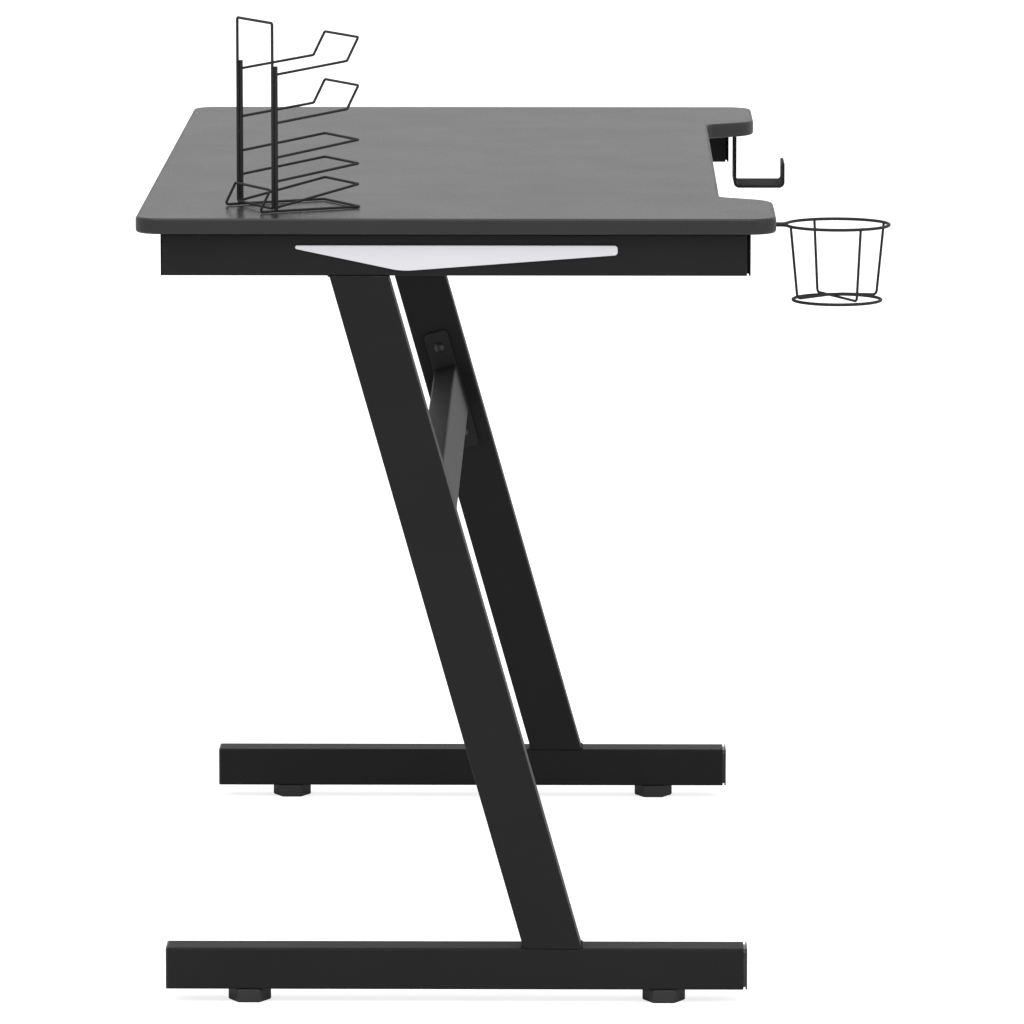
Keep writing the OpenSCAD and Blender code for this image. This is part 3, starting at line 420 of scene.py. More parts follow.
class GeometryTools:
    """Geometry node groups that make the desk's wires, welds and threads, each built once."""

    def start(self, title: str, **inputs: object) -> tuple[NodeSheet, Outputs]:
        """Starts a group that takes geometry, the given inputs and a finish, and gives geometry."""
        ends = {"Geometry": GEOMETRY, **spelled(inputs), "Finish": "NodeSocketMaterial"}
        return NodeSheet.group(title, "GeometryNodeTree", ends, ("Geometry",), GEOMETRY)

    def end(self, sheet: NodeSheet, given: Outputs, shape: Socket, sharp: float = 0.9) -> Tree:
        """Ends a group: smooth faces with sharp corners, realised, with its finish.

        Args:
            sheet: The group's sheet.
            given: Sockets that bring in its inputs.
            shape: The mesh made so far.
            sharp: Angle in radians past which an edge stays sharp.

        Returns:
            The finished group.
        """
        shape = sheet.step("GeometryNodeRealizeInstances", shape)
        shape = sheet.step("GeometryNodeSetShadeSmooth", shape, domain="FACE")
        angle = sheet.add("GeometryNodeInputMeshEdgeAngle").outputs["Unsigned Angle"]
        corners = {"Selection": sheet.math("GREATER_THAN", angle, sharp), "Shade Smooth": False}
        shape = sheet.step("GeometryNodeSetShadeSmooth", shape, corners, domain="EDGE")
        shape = sheet.step("GeometryNodeSetMaterial", shape, {"Material": given["Finish"]})
        sheet.add("NodeGroupOutput", {"Geometry": shape})
        return sheet.tree

    def sweep(self, sheet: NodeSheet, curve: Socket, radius: Socket, facets: Socket) -> Socket:
        """Sweeps a circle along a curve and closes the ends."""
        circle = sheet.add("GeometryNodeCurvePrimitiveCircle", {"Resolution": facets, "Radius": radius}, mode="RADIUS")
        profile = {"Profile Curve": circle.outputs["Curve"], "Fill Caps": True}
        return sheet.step("GeometryNodeCurveToMesh", curve, profile)

    @cached_property
    def wire(self) -> Tree:
        """Wire that follows a path of straight runs, with a round bend at each corner."""
        sheet, given = self.start("bent_wire", wire_radius=0.001, bend_radius=0.003, bend_steps=7, facets=14)
        bends = {"Count": given["Bend Steps"], "Radius": given["Bend Radius"], "Limit Radius": True}
        curve = sheet.step("GeometryNodeMeshToCurve", given["Geometry"])
        curve = sheet.step("GeometryNodeFilletCurve", curve, bends, mode="POLY")
        return self.end(sheet, given, self.sweep(sheet, curve, given["Wire Radius"], given["Facets"]))

    @cached_property
    def bead(self) -> Tree:
        """Weld bead along a path, with the ripples of its travel."""
        sheet, given = self.start("weld_bead", bead_radius=0.0018, ripple_pitch=0.0016, ripple_depth=0.12,
                                  step=0.0004, facets=12, seed=3.0)
        curve = sheet.step("GeometryNodeMeshToCurve", given["Geometry"])
        curve = sheet.step("GeometryNodeResampleCurve", curve, {"Length": given["Step"]}, mode="LENGTH")
        along = sheet.add("GeometryNodeSplineParameter").outputs["Length"]
        shifted = sheet.math("ADD", sheet.math("MULTIPLY", along, 300.0), given["Seed"])
        wander = sheet.add("ShaderNodeTexNoise", noise_dimensions="1D")
        sheet.fill(wander, {"W": shifted})
        phase = sheet.math("DIVIDE", sheet.math("MULTIPLY", along, 2 * math.pi), given["Ripple Pitch"])
        wave = sheet.math("SINE", sheet.math("ADD", phase, sheet.math("MULTIPLY", wander.outputs["Fac"], 4.0)))
        ripple = sheet.math("ADD", 0.88, sheet.math("MULTIPLY", wave, given["Ripple Depth"]))
        curve = sheet.step("GeometryNodeSetCurveRadius", curve, {"Radius": ripple})
        swept = self.sweep(sheet, curve, given["Bead Radius"], given["Facets"])
        sheet.fill(swept.node, {"Scale": sheet.add("GeometryNodeInputRadius").outputs["Radius"]})
        return self.end(sheet, given, swept, 1.2)

    @cached_property
    def spots(self) -> Tree:
        """Small weld on each given point, no two of the same size."""
        sheet, given = self.start("weld_spots", spot_radius=0.0015, spread=0.15, seed=7)
        spot = sheet.add("GeometryNodeMeshIcoSphere", {"Radius": given["Spot Radius"], "Subdivisions": 2})
        least = sheet.math("SUBTRACT", 1.0, given["Spread"])
        scale = sheet.add("FunctionNodeRandomValue", {2: least, 3: 1.0, "Seed": given["Seed"]}, data_type="FLOAT")
        placing = {"Instance": spot.outputs["Mesh"], "Scale": scale.outputs[1]}
        placed = sheet.step("GeometryNodeInstanceOnPoints", given["Geometry"], placing)
        return self.end(sheet, given, placed, 1.2)

    @cached_property
    def thread(self) -> Tree:
        """Rolled screw thread round the Z axis, as a ridge on the given core."""
        sheet, given = self.start("screw_thread", pitch=0.00125, length=0.018, outer_radius=0.004,
                                  ridge_radius=0.0005, foot=0.0, facets=8)
        middle = sheet.math("SUBTRACT", given["Outer Radius"], given["Ridge Radius"])
        helix = sheet.add("GeometryNodeCurveSpiral", {
            "Resolution": 24, "Rotations": sheet.math("DIVIDE", given["Length"], given["Pitch"]),
            "Start Radius": middle, "End Radius": middle, "Height": given["Length"],
        })
        ridge = self.sweep(sheet, helix.outputs["Curve"], given["Ridge Radius"], given["Facets"])
        lift = sheet.add("ShaderNodeCombineXYZ", {"Z": given["Foot"]}).outputs[0]
        both = sheet.add("GeometryNodeJoinGeometry", {0: given["Geometry"]})
        sheet.fill(both, {0: sheet.step("GeometryNodeTransform", ridge, {"Translation": lift})})
        return self.end(sheet, given, both.outputs[0], 0.7)


TOOLS = GeometryTools()


def remesh(piece: Piece, group: Tree, finish: Finishes, **values: float) -> None:
    """Runs a geometry group on a piece and turns the result into its plain mesh.

    Args:
        piece: The piece, whose mesh is the group's input.
        group: The node group.
        finish: Finish that the group sets.
        values: Values of its named inputs.
    """
    modifier = piece.modifiers.new(group.name, "NODES")
    modifier.node_group = group
    given = {**spelled(values), "Finish": finish.value.material()}
    for socket in group.interface.items_tree:
        if socket.item_type == "SOCKET" and socket.in_out == "INPUT" and socket.name in given:
            modifier[socket.identifier] = given[socket.name]
    plain = bpy.data.meshes.new_from_object(piece.evaluated_get(bpy.context.evaluated_depsgraph_get()))
    piece.modifiers.clear()
    piece.data = plain


# Meshes


def to_world(point: Sequence[float]) -> Vector:
    """Turns a place on the desk in millimetres into the shared frame in metres."""
    return Vector((point[0], point[1] + DESK_Y, point[2])) * MM


def placed(point: Sequence[float], *axes: Triple) -> Matrix:
    """Returns the matrix that places a workpiece in millimetres at a point, along the given axes."""
    turn = Matrix(axes).transposed().to_4x4() if axes else Matrix()
    return Matrix.Translation(to_world(point)) @ Matrix.Scale(MM, 4) @ turn


def arc(centre: Pair, radius: float, start: float, end: float, steps: int) -> list[Pair]:
    """Returns the points of an arc, both of its ends included, with its angles in degrees."""
    turns = [math.radians(start + (end - start) * i / steps) for i in range(steps + 1)]
    return [(centre[0] + radius * math.cos(t), centre[1] + radius * math.sin(t)) for t in turns]


def circle(centre: Pair, radius: float, steps: int) -> list[Pair]:
    """Returns points all round a circle."""
    return arc(centre, radius, 0, 360, steps)[:-1]


def rounded_profile(depth: float, radius: float, steps: int) -> list[Pair]:
    """Returns inset and height along a face's rounded edge, from a depth below zero up to zero."""
    turns = [math.pi / 2 * i / steps for i in range(steps + 1)]
    return [(0.0, depth)] + [(radius * (1 - math.cos(t)), radius * (math.sin(t) - 1)) for t in turns]


@dataclass(frozen=True)
class Round:
    """Round of an outline: an arc about a centre, in millimetres and degrees, which may be hollow."""

    centre: Pair
    radius: float
    start: float
    end: float
    steps: int

    def points(self, inset: float) -> list[Pair]:
        """Returns the arc's points with every edge of the outline drawn in by an inset."""
        radius = self.radius + inset if self.end < self.start else max(self.radius - inset, 0.02)
        return arc(self.centre, radius, self.start, self.end, self.steps)


@dataclass(frozen=True)
class Outline:
    """Closed outline that runs anticlockwise through its rounds."""

    rounds: tuple[Round, ...]

    @classmethod
    def through(cls, corners: Sequence[Pair], radii: Sequence[float], steps: int) -> "Outline":
        """Rounds the corners of a convex, anticlockwise polygon.

        Args:
            corners: Its corners.
            radii: Radius at each corner.
            steps: Steps in each round.

        Returns:
            The outline.
        """
        rounds = []
        for i, radius in enumerate(radii):
            here = Vector(corners[i])
            into = (here - Vector(corners[i - 1])).normalized()
            away = (Vector(corners[(i + 1) % len(corners)]) - here).normalized()
            turn = into.angle(away)
            start = here - into * radius * math.tan(turn / 2)
            centre = start + Vector((-into.y, into.x)) * radius
            first = math.degrees(math.atan2(start.y - centre.y, start.x - centre.x))
            rounds.append(Round(tuple(centre), radius, first, first + math.degrees(turn), steps))
        return cls(tuple(rounds))

    @classmethod
    def rectangle(cls, width: float, height: float, radius: float, steps: int = 6) -> "Outline":
        """Returns a centred rectangle with round corners."""
        x, y = width / 2, height / 2
        return cls.through([(-x, -y), (x, -y), (x, y), (-x, y)], [radius] * 4, steps)

    def ring(self, inset: float, height: float = 0.0) -> list[Triple]:
        """Returns the outline's points at a height, drawn in by an inset."""
        return [(x, y, height) for part in self.rounds for x, y in part.points(inset)]


@dataclass
class MeshMaker:
    """Builds one closed mesh out of lofts, in millimetres, and places it in the shared frame."""

    place: Matrix
    made: bmesh.types.BMesh = field(default_factory=bmesh.new)

    def loft(self, rings: Sequence[Sequence[Triple]], closed: bool = False) -> None:
        """Joins rings of equal counts by faces.

        Args:
            rings: The rings in order.
            closed: Joins the last ring to the first, else both ends are filled.
        """
        rows = [[self.made.verts.new(self.place @ Vector(point)) for point in ring] for ring in rings]
        for low, high in zip(rows, rows[1:] + rows[:closed]):
            for i in range(len(low)):
                j = (i + 1) % len(low)
                self.made.faces.new((low[i], low[j], high[j], high[i]))
        if not closed:
            self.made.faces.new(rows[0])
            self.made.faces.new(rows[-1])

    def turned(self, centre: Pair, profile: Sequence[Pair], steps: int) -> None:
        """Lofts circles, given by pairs of radius and height."""
        self.loft([[(x, y, height) for x, y in circle(centre, radius, steps)] for radius, height in profile])

    def plate(self, outline: Outline, thickness: float, edge: float) -> None:
        """Lofts a plate on the XY plane, with a rounded edge round its upper face."""
        profile = rounded_profile(-thickness, edge, 5)
        self.loft([outline.ring(inset, height + thickness) for inset, height in profile])

    def finish(self, name: str, sharp: float) -> Piece:
        """Turns the mesh into a piece with smooth faces and sharp corners.

        Args:
            name: Name of the piece.
            sharp: Angle in degrees past which an edge stays sharp.

        Returns:
            The new piece.
        """
        bmesh.ops.recalc_face_normals(self.made, faces=self.made.faces)
        for face in self.made.faces:
            face.smooth = True
        for edge in self.made.edges:
            if len(edge.link_faces) == 2 and edge.calc_face_angle() > math.radians(sharp):
                edge.smooth = False
        mesh = bpy.data.meshes.new(name)
        self.made.to_mesh(mesh)
        self.made.free()
        return link(name, mesh)


def link(name: str, data: bpy.types.ID) -> Piece:
    """Puts a mesh, lamp or camera into the scene as an object, and returns it."""
    made = bpy.data.objects.new(name, data)
    bpy.context.scene.collection.objects.link(made)
    return made


def path_piece(name: str, paths: Iterable[Sequence[Vector]], closed: bool = False) -> Piece:
    """Makes a piece of bare edges or points for a geometry group to work on.

    Args:
        name: Name of the piece.
        paths: The paths, in metres.
        closed: Joins the end of each path to its start.

    Returns:
        The new piece.
    """
    points: list[Vector] = []
    edges: list[tuple[int, int]] = []
    for path in paths:
        first = len(points)
        points.extend(path)
        edges.extend((i, i + 1) for i in range(first, len(points) - 1))
        if closed:
            edges.append((len(points) - 1, first))
    mesh = bpy.data.meshes.new(name)
    mesh.from_pydata(points, edges, [])
    return link(name, mesh)


# Sub-assemblies


@dataclass
class SubAssembly:
    """Base of the desk's sub-assemblies.

    Attributes:
        kept: CAD nodes that stay in sight, under their finish.
        made: Pieces that are made here: piece, finish, body and the CAD nodes that it stands for.
    """

    kept: dict[Finishes, Sequence[str]] = field(default_factory=dict)
    made: list[tuple[Piece, Finishes, str, Sequence[str]]] = field(default_factory=list)

    def add(self, piece: Piece, finish: Finishes, *nodes: str, body: str = Body.DESK.value) -> None:
        """Takes a finished piece in, with its finish, its body and the nodes that it stands for."""
        self.made.append((piece, finish, body, nodes))

    def build(self) -> None:
        """Builds the pieces that the CAD solids don't already show."""

    def dress(self) -> None:
        """Puts the finishes on, lets pieces ride on their bodies and hides the nodes that they stand for."""
        for piece, finish, body, nodes in self.made:
            finish.put_on(piece)
            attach(piece, body)
            if nodes:
                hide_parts(*nodes)
            LOG.info("piece %s: %d faces on %s", piece.name, len(piece.data.polygons), body)
        for finish, names in self.kept.items():
            for name in names:
                finish.put_on(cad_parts[name])
                LOG.info("node %s: %s", name, finish.value.title)


@dataclass
class Desktop(SubAssembly):
    """Board with its laminate and the plastic band round its edge."""

    length: float = 1100.0
    depth: float = 600.0
    top: float = 750.0
    thickness: float = 15.0
    corner: float = 25.0
    cut_depth: float = 50.0
    wing: float = 165.0
    flare: float = 32.0
    inner_radius: float = 20.0
    outer_radius: float = 40.0
    band: float = 3.0
    band_rounding: float = 2.6

    def outline(self) -> Outline:
        """Returns the desktop's outline, anticlockwise from the rear right corner."""
        x, y, r = self.length / 2, self.depth / 2, self.corner
        lean = math.degrees(math.atan(self.cut_depth / self.flare))
        reach = math.tan(math.radians(lean / 2))
        mouth = x - self.wing
        outer = (mouth + self.outer_radius * reach, -y + self.outer_radius)
        inner = (mouth - self.flare - self.inner_radius * reach, -y + self.cut_depth - self.inner_radius)
        return Outline((
            Round((x - r, y - r), r, 0, 90, 10),
            Round((r - x, y - r), r, 90, 180, 10),
            Round((r - x, r - y), r, 180, 270, 10),
            Round((-outer[0], outer[1]), self.outer_radius, 270, 270 + lean, 14),
            Round((-inner[0], inner[1]), self.inner_radius, 90 + lean, 90, 12),
            Round(inner, self.inner_radius, 90, 90 - lean, 12),
            Round(outer, self.outer_radius, -90 - lean, -90, 14),
            Round((x - r, r - y), r, -90, 0, 10),
        ))

    def build(self) -> None:
        """Builds the edge band, with softly rounded upper and lower arrises."""
        low = -self.thickness
        top = rounded_profile(low / 2, self.band_rounding, 6)
        bottom = [(inset, low - height) for inset, height in reversed(top[1:])]
        profile = [(self.band, low), *bottom, *top[1:], (self.band, 0.0)]
        maker = MeshMaker(placed((0, 0, self.top)))
        maker.loft([self.outline().ring(inset, height) for inset, height in profile], closed=True)
        self.add(maker.finish("edge_band_moulded", 50.0), Finishes.BAND, "edge_band")


@dataclass
class SideFrames(SubAssembly):
    """Two welded side frames of tube: upper rail, leaning leg and lower rail."""

    frame_x: float = 520.0
    rail_width: float = 36.0
    leg_width: float = 53.0
    lean: float = 15.83
    top_z: float = 695.0
    foot_z: float = 53.0
    run: float = 182.0
    bead: float = 1.7
    bead_end: float = 3.0
    seed: float = 3.0

    def build(self) -> None:
        """Builds the weld beads across the front and the rear of each leg at both of its ends."""
        half = self.leg_width / 2 / math.cos(math.radians(self.lean))
        reach = self.rail_width / 2 - self.bead_end
        ends = [(self.top_z, self.run / 2), (self.foot_z, -self.run / 2)]
        for side in Side:
            lines = [(y + sign * half, z) for z, y in ends for sign in SIGNS]
            paths = [[to_world((side.value * self.frame_x + x, y, z)) for x in (-reach, reach)] for y, z in lines]
            bead = path_piece(f"frame_welds_{side.word}", paths)
            remesh(bead, TOOLS.bead, Finishes.FRAME, bead_radius=self.bead * MM, seed=self.seed + side.value)
            self.add(bead, Finishes.FRAME)


@dataclass
class EndCaps(SubAssembly):
    """Plastic caps in the ends of the four rails, the upper ones matt and darker: painted shade under the desktop."""

    frame_x: float = 520.0
    rail: Pair = (36.0, 40.0)
    corner: float = 2.5
    plate: float = 1.5
    edge: float = 0.6
    neck: float = 2.0
    joint_gap: float = 0.05
    plug: Pair = (32.7, 36.7)
    plug_corner: float = 5.0
    plug_length: float = 18.0
    plug_wall: float = 2.0
    plug_chamfer: float = 0.5
    tube_front: float = -272.5
    tube_rear: float = 274.5
    top_z: float = 715.0
    bottom_z: float = 33.0

    def cap(self, name: str, side: Side, end: End, height: float) -> Piece:
        """Builds one cap: a plate with a rounded face and a hollow plug.

        Args:
            name: Name of the piece.
            side: The frame's side.
            end: The rail's end.
            height: Height of the rail's middle.

        Returns:
            The cap.
        """
        neck, tube = (self.neck, self.tube_front) if end is End.FRONT else (self.joint_gap, self.tube_rear)
        mouth = (side.value * self.frame_x, tube + end.value * neck, height)
        maker = MeshMaker(placed(mouth, (1, 0, 0), (0, 0, 1), (0, end.value, 0)))
        maker.plate(Outline.rectangle(*self.rail, self.corner), self.plate, self.edge)
        depth = -neck - self.plug_length
        wall, bevel = self.plug_wall, self.plug_chamfer
        plug = [(0, self.plate / 2), (0, depth + bevel), (bevel, depth), (wall, depth), (wall, -neck - wall)]
        outline = Outline.rectangle(*self.plug, self.plug_corner)
        maker.loft([outline.ring(inset, level) for inset, level in plug])
        return maker.finish(name, 40.0)

    def build(self) -> None:
        """Builds all eight caps."""
        # The upper caps take the darker copy of the cap plastic, as painted shade under the desktop.
        levels = (("top", self.top_z, Finishes.UPPER_CAP), ("bottom", self.bottom_z, Finishes.CAP))
        for level, height, finish in levels:
            for end in End:
                for side in Side:
                    tail = f"{level}_{end.word}_{side.word}"
                    self.add(self.cap(f"rail_cap_{tail}", side, end, height), finish, f"cap_{tail}")


@dataclass
class Crossbar(SubAssembly):
    """Crossbar with an end plate at each leg, bolts and nuts."""

    length: float = 995.8
    middle: Pair = (22.478, 448.0)
    size: Pair = (25.0, 50.0)
    corner: float = 2.5
    lean: float = 15.83
    bead: float = 1.4
    bead_inset: float = 0.2
    seed: float = 9.0

    def build(self) -> None:
        """Builds the weld bead round each end of the bar."""
        tilt = Matrix.Rotation(math.radians(-self.lean), 3, "X")
        ring = Outline.rectangle(*self.size, self.corner, 3).ring(0.0)
        for side in Side:
            end = Vector((side.value * (self.length / 2 - self.bead_inset), *self.middle))
            path = [to_world(end + tilt @ Vector((0, y, z))) for y, z, _ in ring]
            bead = path_piece(f"crossbar_weld_{side.word}", [path], closed=True)
            remesh(bead, TOOLS.bead, Finishes.CROSSBAR, bead_radius=self.bead * MM, seed=self.seed + side.value)
            self.add(bead, Finishes.CROSSBAR)


@dataclass
class Glides(SubAssembly):
    """Levelling glides: a hexagonal pad that turns with a threaded stud under each rail end."""

    frame_x: float = 520.0
    y: float = 197.0
    flats: float = 35.5
    corner: float = 1.2
    top: float = 12.7
    foot_chamfer: float = 1.3
    foot_inset_share: float = 0.7
    top_chamfer: float = 0.6
    bore: float = 4.05
    head_radius: float = 7.5
    head_height: float = 3.0
    head_chamfer: float = 0.4
    head_z: float = 4.85
    stud_radius: float = 4.0
    stud_top: float = 31.7
    stud_chamfer: float = 0.8
    pitch: float = 1.25
    thread_depth: float = 0.6
    thread_ridge: float = 0.5
    thread_end: float = 1.2
    stud_facets: int = 32

    def pad(self, name: str, place: Matrix) -> Piece:
        """Builds one hexagonal pad with its bore.

        Args:
            name: Name of the piece.
            place: Matrix of its foot.

        Returns:
            The pad.
        """
        hexagon = arc((0, 0), self.flats / 2 / math.cos(math.pi / 6), 30, 330, 5)
        outline = Outline.through(hexagon, [self.corner] * 6, 5)
        foot, edge = self.foot_chamfer, self.top_chamfer
        profile = [(foot * self.foot_inset_share, 0.0), (0.0, foot), (0.0, self.top - edge), (edge, self.top)]
        rings = [outline.ring(inset, height) for inset, height in profile]
        angles = [math.atan2(y, x) for x, y, _ in rings[-1]]
        for height in (self.top, self.head_z):
            rings.append([(self.bore * math.cos(t), self.bore * math.sin(t), height) for t in angles])
        maker = MeshMaker(place)
        maker.loft(rings)
        return maker.finish(name, 25.0)

    def stud(self, name: str, place: Matrix) -> Piece:
        """Builds one stud with its head and rolled thread, on the Z axis, and then places it.

        Args:
            name: Name of the piece.
            place: Matrix of its foot.

        Returns:
            The stud.
        """
        core, radius = self.stud_radius - self.thread_depth, self.head_radius
        low, high = self.head_z, self.head_z + self.head_height
        edge, tip = self.head_chamfer, self.stud_chamfer
        profile = [(radius - edge, low), (radius, low + edge), (radius, high - edge), (radius - edge, high),
                   (core, high), (core, self.stud_top - tip), (core - tip, self.stud_top)]
        maker = MeshMaker(Matrix.Scale(MM, 4))
        maker.turned((0, 0), profile, self.stud_facets)
        stud = maker.finish(name, 30.0)
        foot = high + 2 * self.thread_depth
        sizes = {"pitch": self.pitch, "length": self.stud_top - foot - self.thread_end,
                 "outer_radius": self.stud_radius, "ridge_radius": self.thread_ridge, "foot": foot}
        remesh(stud, TOOLS.thread, Finishes.ZINC, **{key: size * MM for key, size in sizes.items()})
        stud.data.transform(place @ Matrix.Scale(1 / MM, 4))
        return stud

    def build(self) -> None:
        """Builds the four pads, each on the body that turns, and the four studs."""
        kinds = ((self.pad, "foot", "pad", Finishes.GLIDE), (self.stud, "screw", "stud", Finishes.ZINC))
        for end in End:
            for side in Side:
                tail = f"{end.word}_{side.word}"
                place = placed((side.value * self.frame_x, end.value * self.y, 0))
                for make, piece, node, finish in kinds:
                    made = make(f"glide_{piece}_{tail}", place)
                    self.add(made, finish, f"glide_{node}_{tail}", body=f"{node}_{tail}")


@dataclass
class TrimPanels(SubAssembly):
    """White trim panel on the outer face of each upper rail."""

    outer_x: float = 538.05
    tip: Pair = (165.5, 723.8)
    length: float = 317.0
    shift: float = 7.0
    height: float = 24.2
    end_height: float = 9.0
    corner_from_tip: float = 115.0
    thickness: float = 2.0
    radii: tuple[float, float, float, float] = (1.8, 3.0, 3.0, 70.0)
    edge: float = 0.6
    peg_radius: float = 2.5
    peg_reach: float = 4.5
    peg_chamfer: float = 0.4
    peg_shares: tuple[float, ...] = (-0.4, 0.0, 0.3)
    peg_z: float = 719.3
    peg_facets: int = 24

    def build(self) -> None:
        """Builds both panels, each with a softly rounded face and its pegs."""
        y, z = self.tip
        end, radius, bevel = y - self.length, self.peg_radius, self.peg_chamfer
        corners = [self.tip, (end, z), (end, z - self.end_height), (y - self.corner_from_tip, z - self.height)]
        outline = Outline.through(corners, self.radii, 12)
        peg = [(radius, self.thickness / 2), (radius, bevel - self.peg_reach), (radius - bevel, -self.peg_reach)]
        for side in Side:
            maker = MeshMaker(placed((side.value * self.outer_x, 0, 0), (0, 1, 0), (0, 0, 1), (side.value, 0, 0)))
            maker.plate(outline, self.thickness, self.edge)
            for share in self.peg_shares:
                maker.turned((self.shift + share * self.length, self.peg_z), peg, self.peg_facets)
            self.add(maker.finish(f"trim_plate_{side.word}", 40.0), Finishes.TRIM, f"trim_panel_{side.word}")


@dataclass
class HeadsetHook(SubAssembly):
    """Bent steel strip that hangs under the right front of the desktop, with its screws."""


@dataclass
class WireWork(SubAssembly):
    """Base of the sub-assemblies that are bent from wire."""

    body: Body = Body.DESK
    bend: float = 2.0
    facets: int = 16
    joint_gap: float = 0.05
    weld_radius: float = 1.4
    weld_seed: int = 11

    def wire(self, name: str, node: str, points: Sequence[Vector], diameter: float, bend: float,
             closed: bool = False) -> None:
        """Bends one wire.

        Args:
            name: Name of the piece.
            node: CAD node that it replaces.
            points: Corners of its path, in metres.
            diameter: Diameter of the wire in millimetres.
            bend: Radius of its bends in millimetres.
            closed: Whether the wire closes on itself.
        """
        piece = path_piece(name, [points], closed)
        remesh(piece, TOOLS.wire, Finishes.WIRE, wire_radius=diameter / 2 * MM, bend_radius=bend * MM,
               facets=self.facets)
        self.add(piece, Finishes.WIRE, node, body=self.body.value)

    def weld(self, name: str, points: Sequence[Vector]) -> None:
        """Puts a small weld on each crossing of wires.

        Args:
            name: Name of the piece.
            points: The crossings, in metres.
        """
        piece = path_piece(name, [[point] for point in points])
        remesh(piece, TOOLS.spots, Finishes.WIRE, spot_radius=self.weld_radius * MM, seed=self.weld_seed)
        self.add(piece, Finishes.WIRE, body=self.body.value)


@dataclass
class CupHolder(WireWork):
    """Cup holder: two rings, a cradle of two crossing wires, and a stem under the desktop."""

    weld_radius: float = 1.3
    weld_seed: int = 5
    ring_steps: int = 96
    bend_steps: int = 7
    eye_steps: int = 20
    centre: Pair = (-445.0, -360.0)
    top_z: float = 733.45
    height: float = 71.5
    top_diameter: float = 98.0
    bottom_diameter: float = 83.4
    ring_wire: float = 3.0
    cradle_wire: float = 2.5
    turn: float = 24.5
    cradle_bend: float = 4.0
    bow: float = 5.0
    stem_offset: float = 6.0
    stem_bend: float = 7.0
    stem_end: float = 92.0
    eye_radius: float = 3.9
    cradle_foot: float = -68.7

    def spot(self, x: float, y: float, z: float) -> Vector:
        """Turns a place round the holder's axis into the shared frame."""
        return to_world((self.centre[0] + x, self.centre[1] + y, self.top_z + z))

    def rings(self) -> None:
        """Builds the upper ring, whose wire runs back to two screw eyes, and the lower ring."""
        radius, across = self.top_diameter / 2, self.stem_offset + self.stem_bend
        angle = math.degrees(math.asin(across / (radius + self.stem_bend)))
        start = (radius + self.stem_bend) * math.cos(math.radians(angle))
        eye = (self.stem_offset + self.eye_radius, self.stem_end)
        stem = arc(eye, self.eye_radius, -90, 180, self.eye_steps)
        stem += arc((across, start), self.stem_bend, 180, 270 - angle, self.bend_steps)
        ring = arc((0, 0), radius, 90 - angle, -270 + angle, self.ring_steps)[1:-1]
        upper = [self.spot(x, y, 0) for x, y in stem + ring + [(-x, y) for x, y in reversed(stem)]]
        self.wire("cup_ring_upper", "cup_top_ring", upper, self.ring_wire, 0.0)
        low_ring = circle((0, 0), self.bottom_diameter / 2, self.ring_steps)
        lower = [self.spot(x, y, -self.height) for x, y in low_ring]
        self.wire("cup_ring_lower", "cup_bottom_ring", lower, self.ring_wire, 0.0, True)

    def build(self) -> None:
        """Builds the rings, the cradle, whose upper wire bows over the lower one, and the welds."""
        self.rings()
        top, foot = -self.ring_wire / 2 - self.joint_gap, self.cradle_foot
        wide, narrow = self.top_diameter / 2, self.bottom_diameter / 2
        over = foot + self.cradle_wire + self.joint_gap
        bow = [(-self.bow, over), (self.bow, over)]
        crossings = []
        for name, turn, middle in (("lower", self.turn, []), ("upper", self.turn - 90, bow)):
            x, y = math.cos(math.radians(turn)), math.sin(math.radians(turn))
            corners = [(-wide, top), (-narrow, foot), *middle, (narrow, foot), (wide, top)]
            points = [self.spot(x * u, y * u, z) for u, z in corners]
            self.wire(f"cup_cradle_{name}_wire", f"cup_cradle_{name}", points, self.cradle_wire, self.cradle_bend)
            crossings += [points[0], points[-1]]
        crossings.append(self.spot(0, 0, foot + self.cradle_wire / 2))
        self.weld("cup_welds", crossings)


